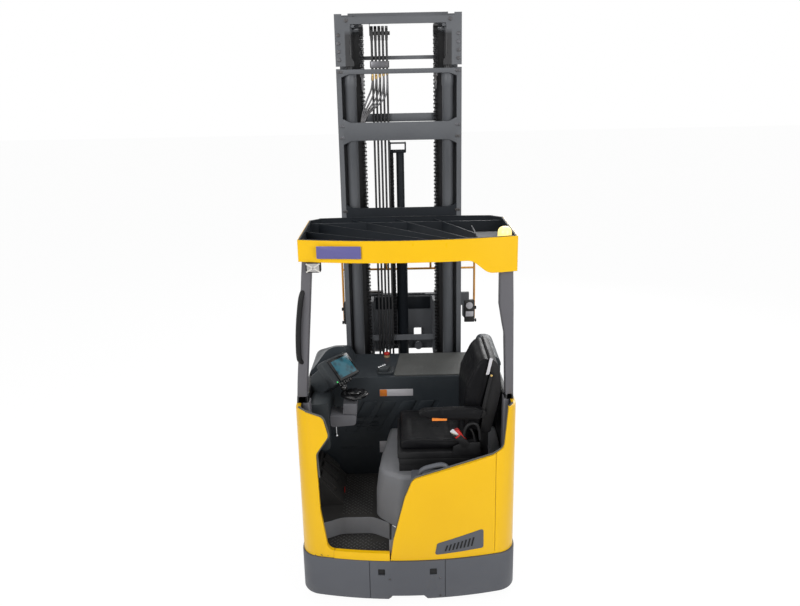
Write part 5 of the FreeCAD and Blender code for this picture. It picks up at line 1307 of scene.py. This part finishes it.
def make_backrest():
    tubes = [disc((x, BACKREST_Y, 1275), "Z", 8, 738, 3, 20) for x in (-445, 535)]
    tubes += [disc((x, BACKREST_Y, BACKREST_MIDDLE), "Z", 8, 335, 1, 20) for x in (-120, 210)]
    tubes += [disc((-445, BACKREST_Y, z), "X", 8, 980, 1, 20) for z in (BACKREST_MIDDLE, BACKREST_TOP)]
    piece("backrest_tubes", tubes, BACKREST_ORANGE, body="shift_frame", replaced=["load_backrest"])


def make_carriage():
    plate = oblong((-290, 290), (1600.5, 1613.5), (1081, 1488), 8, 2)
    window = block((78, 153), (1590, 1620), (1149, 1242), 6)
    piece("carriage_plate", [carve(plate, [window])], MAST_GREY, body="lift_carriage")
    upper = oblong((-200, 200), (1592, 1600), (1392, 1484), 4, 2)
    piece("carriage_upper_block", [upper], GUARD_BLACK, body="lift_carriage")
    wings = [oblong(span, (1671, 1675.8), (1256, 1427), 8, 1.5) for span in ((459, 537), (-447, -428))]
    piece("wing_plates", wings, CHASSIS_BLACK, body="shift_frame")
    round_sign = disc((498, 1671, 1385), "-Y", 26, 2, 0.6, 32)
    square_sign = oblong((470, 528), (1669, 1671), (1300, 1340), 4, 0.6)
    piece("wing_signs", [round_sign, square_sign], PALE_LABEL, body="shift_frame")
    knob_places = ((539, 1364), (540, 1265), (-461, 1370), (-461, 1265))
    knobs = [disc((x, 1690, z), "X", 13, 12, 4, 20) for x, z in knob_places]
    piece("backrest_clamp_knobs", knobs, SHELL_PLASTIC, slot="dark_paint", body="shift_frame")


# Console, column, steering wheel, levers and stop button
STEERING_PLACE = (-318, 590, 1140)
STOP_PLACE = (-121, 1220, 1155)
HOOD_WALL_SPAN = (826.5, 829.8)


def make_console():
    low = upright(rounded([(-598, 860, 0), (-598, 1130, 40), (-470, 1130, 20), (-470, 800, 30)], 4),
        470, 829.5, 0, 4)
    neck = flat((-70, 65), (-125, 90), (-230, -50), 14)
    head = flat((-90, 80), (-150, 110), (-55, -2), 12)
    keep = block((-598, 0), (0, 829.6), (0, 2000))
    shaped = [carve(on_dash(part), [keep.copy()], "INTERSECT") for part in (neck, head)]
    keep.free()
    piece("dash_shell", [low] + shaped, DASH_PLASTIC, replaced=["dash_console"], angle=40)
    lower = upright(rounded([(-469.5, 950, 20), (-469.5, 1030, 4), (-304, 1030, 15), (-312, 962, 20)],
        4), 520, 660, 0, 5)
    upper = upright(rounded([(-390, 1033, 4), (-386, 1103, 12), (-300, 1103, 12), (-303, 1033, 4)], 4),
        528, 652, 0, 5)
    neck_part = block((-380, -312), (535, 645), (1028, 1036))
    piece("column_blocks", [lower, upper, neck_part], CONSOLE_PLASTIC, replaced=["steering_column"])
    dish = turned([(0, -6), (52, -8), (78, -5), (86, 2), (85, 9), (76, 13), (48, 13), (40, 10),
        (0, 10)], STEERING_PLACE, "Z", 48)
    pad = turned([(0, 12), (30, 12), (36, 15), (34, 20), (20, 23), (0, 24)], steps=32)
    bmesh.ops.scale(pad, vec=(1.25, 0.8, 1.0), verts=pad.verts)
    ball = turned([(9, 10), (9, 24), (16, 30), (22, 40), (23, 50), (19, 61), (10, 68), (0, 70)],
        (-380, 590, 1140), "Z", 32)
    stem = disc((-318, 590, 1103.5), "Z", 20, 34, 2)
    piece("steering_dish", [dish, stand(pad, STEERING_PLACE), ball, stem], GLOSS_BLACK,
        body="steering_wheel", replaced=["steering_wheel"])
    stalk = [disc((-437, 560, 880), "Z", 7, 62, 2, 20), disc((-437, 560, 874), "Z", 15, 10, 4, 20)]
    piece("column_stem", stalk, BRIGHT_ROD)


def make_levers():
    base = level(rounded([(-180, 872, 16), (-72, 872, 16), (-72, 1008, 16), (-180, 1008, 16)], 4), 1155,
        1172, 0, 4)
    hump = level(rounded([(-176, 884, 12), (-108, 884, 12), (-96, 950, 12), (-164, 960, 12)], 4), 1168,
        1196, 0, 6)
    piece("lever_pod", [base, hump], DASH_PLASTIC, replaced=["control_levers"])
    keys = []
    for i in range(4):
        key = slab(corners_of((-7, 7), (-6, 6)), 34, 2, 2)
        where = (-168 + 12 * i, 898 + 14 * i, 1204)
        keys.append(stand(key, where, "Z", [(-72, "X"), (-8, "Z")]))
    piece("lever_keys", keys, BRIGHT_ROD)
    collar = turned([(0, 0), (21, 0), (21, 8), (18, 13), (0, 13)], STOP_PLACE, "Z", 28)
    piece("stop_collar", [collar], TAN_PLASTIC)
    cap = turned([(0, 12), (10, 12), (10, 18), (20, 20), (21, 26), (18, 32), (0, 34)], STOP_PLACE,
        "Z", 32)
    piece("stop_cap", [cap], RED_PLASTIC, replaced=["stop_button"])


def make_hood_lines():
    bars = []
    for z in (871, 838, 824, 804):
        bars.append(oblong((-328, -181), HOOD_WALL_SPAN, (z, z + 6), 0, 1))
    for x in (-330, -205, -80, 45):
        panel = [(x, 880), (x + 62, 988), (x + 150, 988), (x + 88, 880)]
        bars.append(upright(panel, 825.5, 829.8, 8, 1.5))
    bars.append(oblong((-430, -216), (827.5, 829.8), (655, 661), 0, 0.8))
    piece("hood_wall_ribs", bars, HOOD_PLASTIC)


for make in (make_seat, make_chains, make_wheels, make_guard_fittings, make_dash_fittings,
        make_console_fittings, make_body, make_bumper, make_vent, make_pedestal, make_floor, make_guard,
        make_posts, make_mast, make_free_lift, make_hose_fittings, make_backrest, make_carriage,
        make_console, make_levers, make_hood_lines):
    make()


# Studio: a pale floor, a white world and soft lamps
FLOOR_REACH = 40.0
PAPER_GLOW = 1.06
GLOW_SHARE = 0.90
WORLD_LIGHT = 0.24


def paper_floor():
    finish = Finish("studio_paper", (0.80, 0.80, 0.80), 0.9)
    finish.bump(finish.clouds(180.0, 3.0), 0.0004, 0.2)
    glow = finish.node("ShaderNodeEmission", {"Strength": PAPER_GLOW})
    blend = finish.node("ShaderNodeMixShader")
    seen = finish.sums("MULTIPLY", finish.seen_directly(), GLOW_SHARE)
    finish.link(seen, blend.inputs["Fac"])
    finish.link(finish.shader.outputs["BSDF"], blend.inputs[1])
    finish.link(glow.outputs["Emission"], blend.inputs[2])
    finish.link(blend.outputs["Shader"], finish.tree.nodes["Material Output"].inputs["Surface"])
    return finish.material


def lay_floor():
    sheet = bmesh.new()
    bmesh.ops.create_grid(sheet, x_segments=2, y_segments=2, size=FLOOR_REACH)
    mesh = mesh_from(sheet, "studio_floor")
    mesh.materials.append(paper_floor())
    floor = in_scene("studio_floor", mesh)


def light_world():
    world = bpy.data.worlds.new("white_studio")
    bpy.context.scene.world = world
    world.use_nodes = True
    nodes = Nodes(world.node_tree)
    background = nodes.tree.nodes["Background"]
    background.inputs["Color"].default_value = (1.0, 1.0, 1.0, 1.0)
    strength = nodes.node("ShaderNodeMapRange", {"To Min": WORLD_LIGHT, "To Max": 1.0})
    nodes.link(nodes.seen_directly(), strength.inputs["Value"])
    nodes.link(strength.outputs["Result"], background.inputs["Strength"])


def soft_lamp(name, where, towards, size, power):
    data = bpy.data.lights.new(name, "AREA")
    data.shape = "SQUARE"
    data.size = size
    data.energy = power
    lamp = in_scene(name, data)
    way = place(*towards) - place(*where)
    facing = way.to_track_quat("-Z", "Y").to_matrix().to_4x4()
    lamp.matrix_world = Matrix.Translation(place(*where)) @ facing


lay_floor()
light_world()
soft_lamp("rear_left_lamp", (-3600, -4200, 4200), (0, 600, 1100), 3.0, 184.0)
soft_lamp("rear_right_lamp", (3800, -3800, 3300), (0, 600, 1200), 3.0, 142.0)
soft_lamp("top_lamp", (0, 1500, 6800), (0, 1000, 1000), 3.5, 120.0)
soft_lamp("front_lamp", (2200, 6500, 3600), (0, 1600, 1400), 3.0, 120.0)
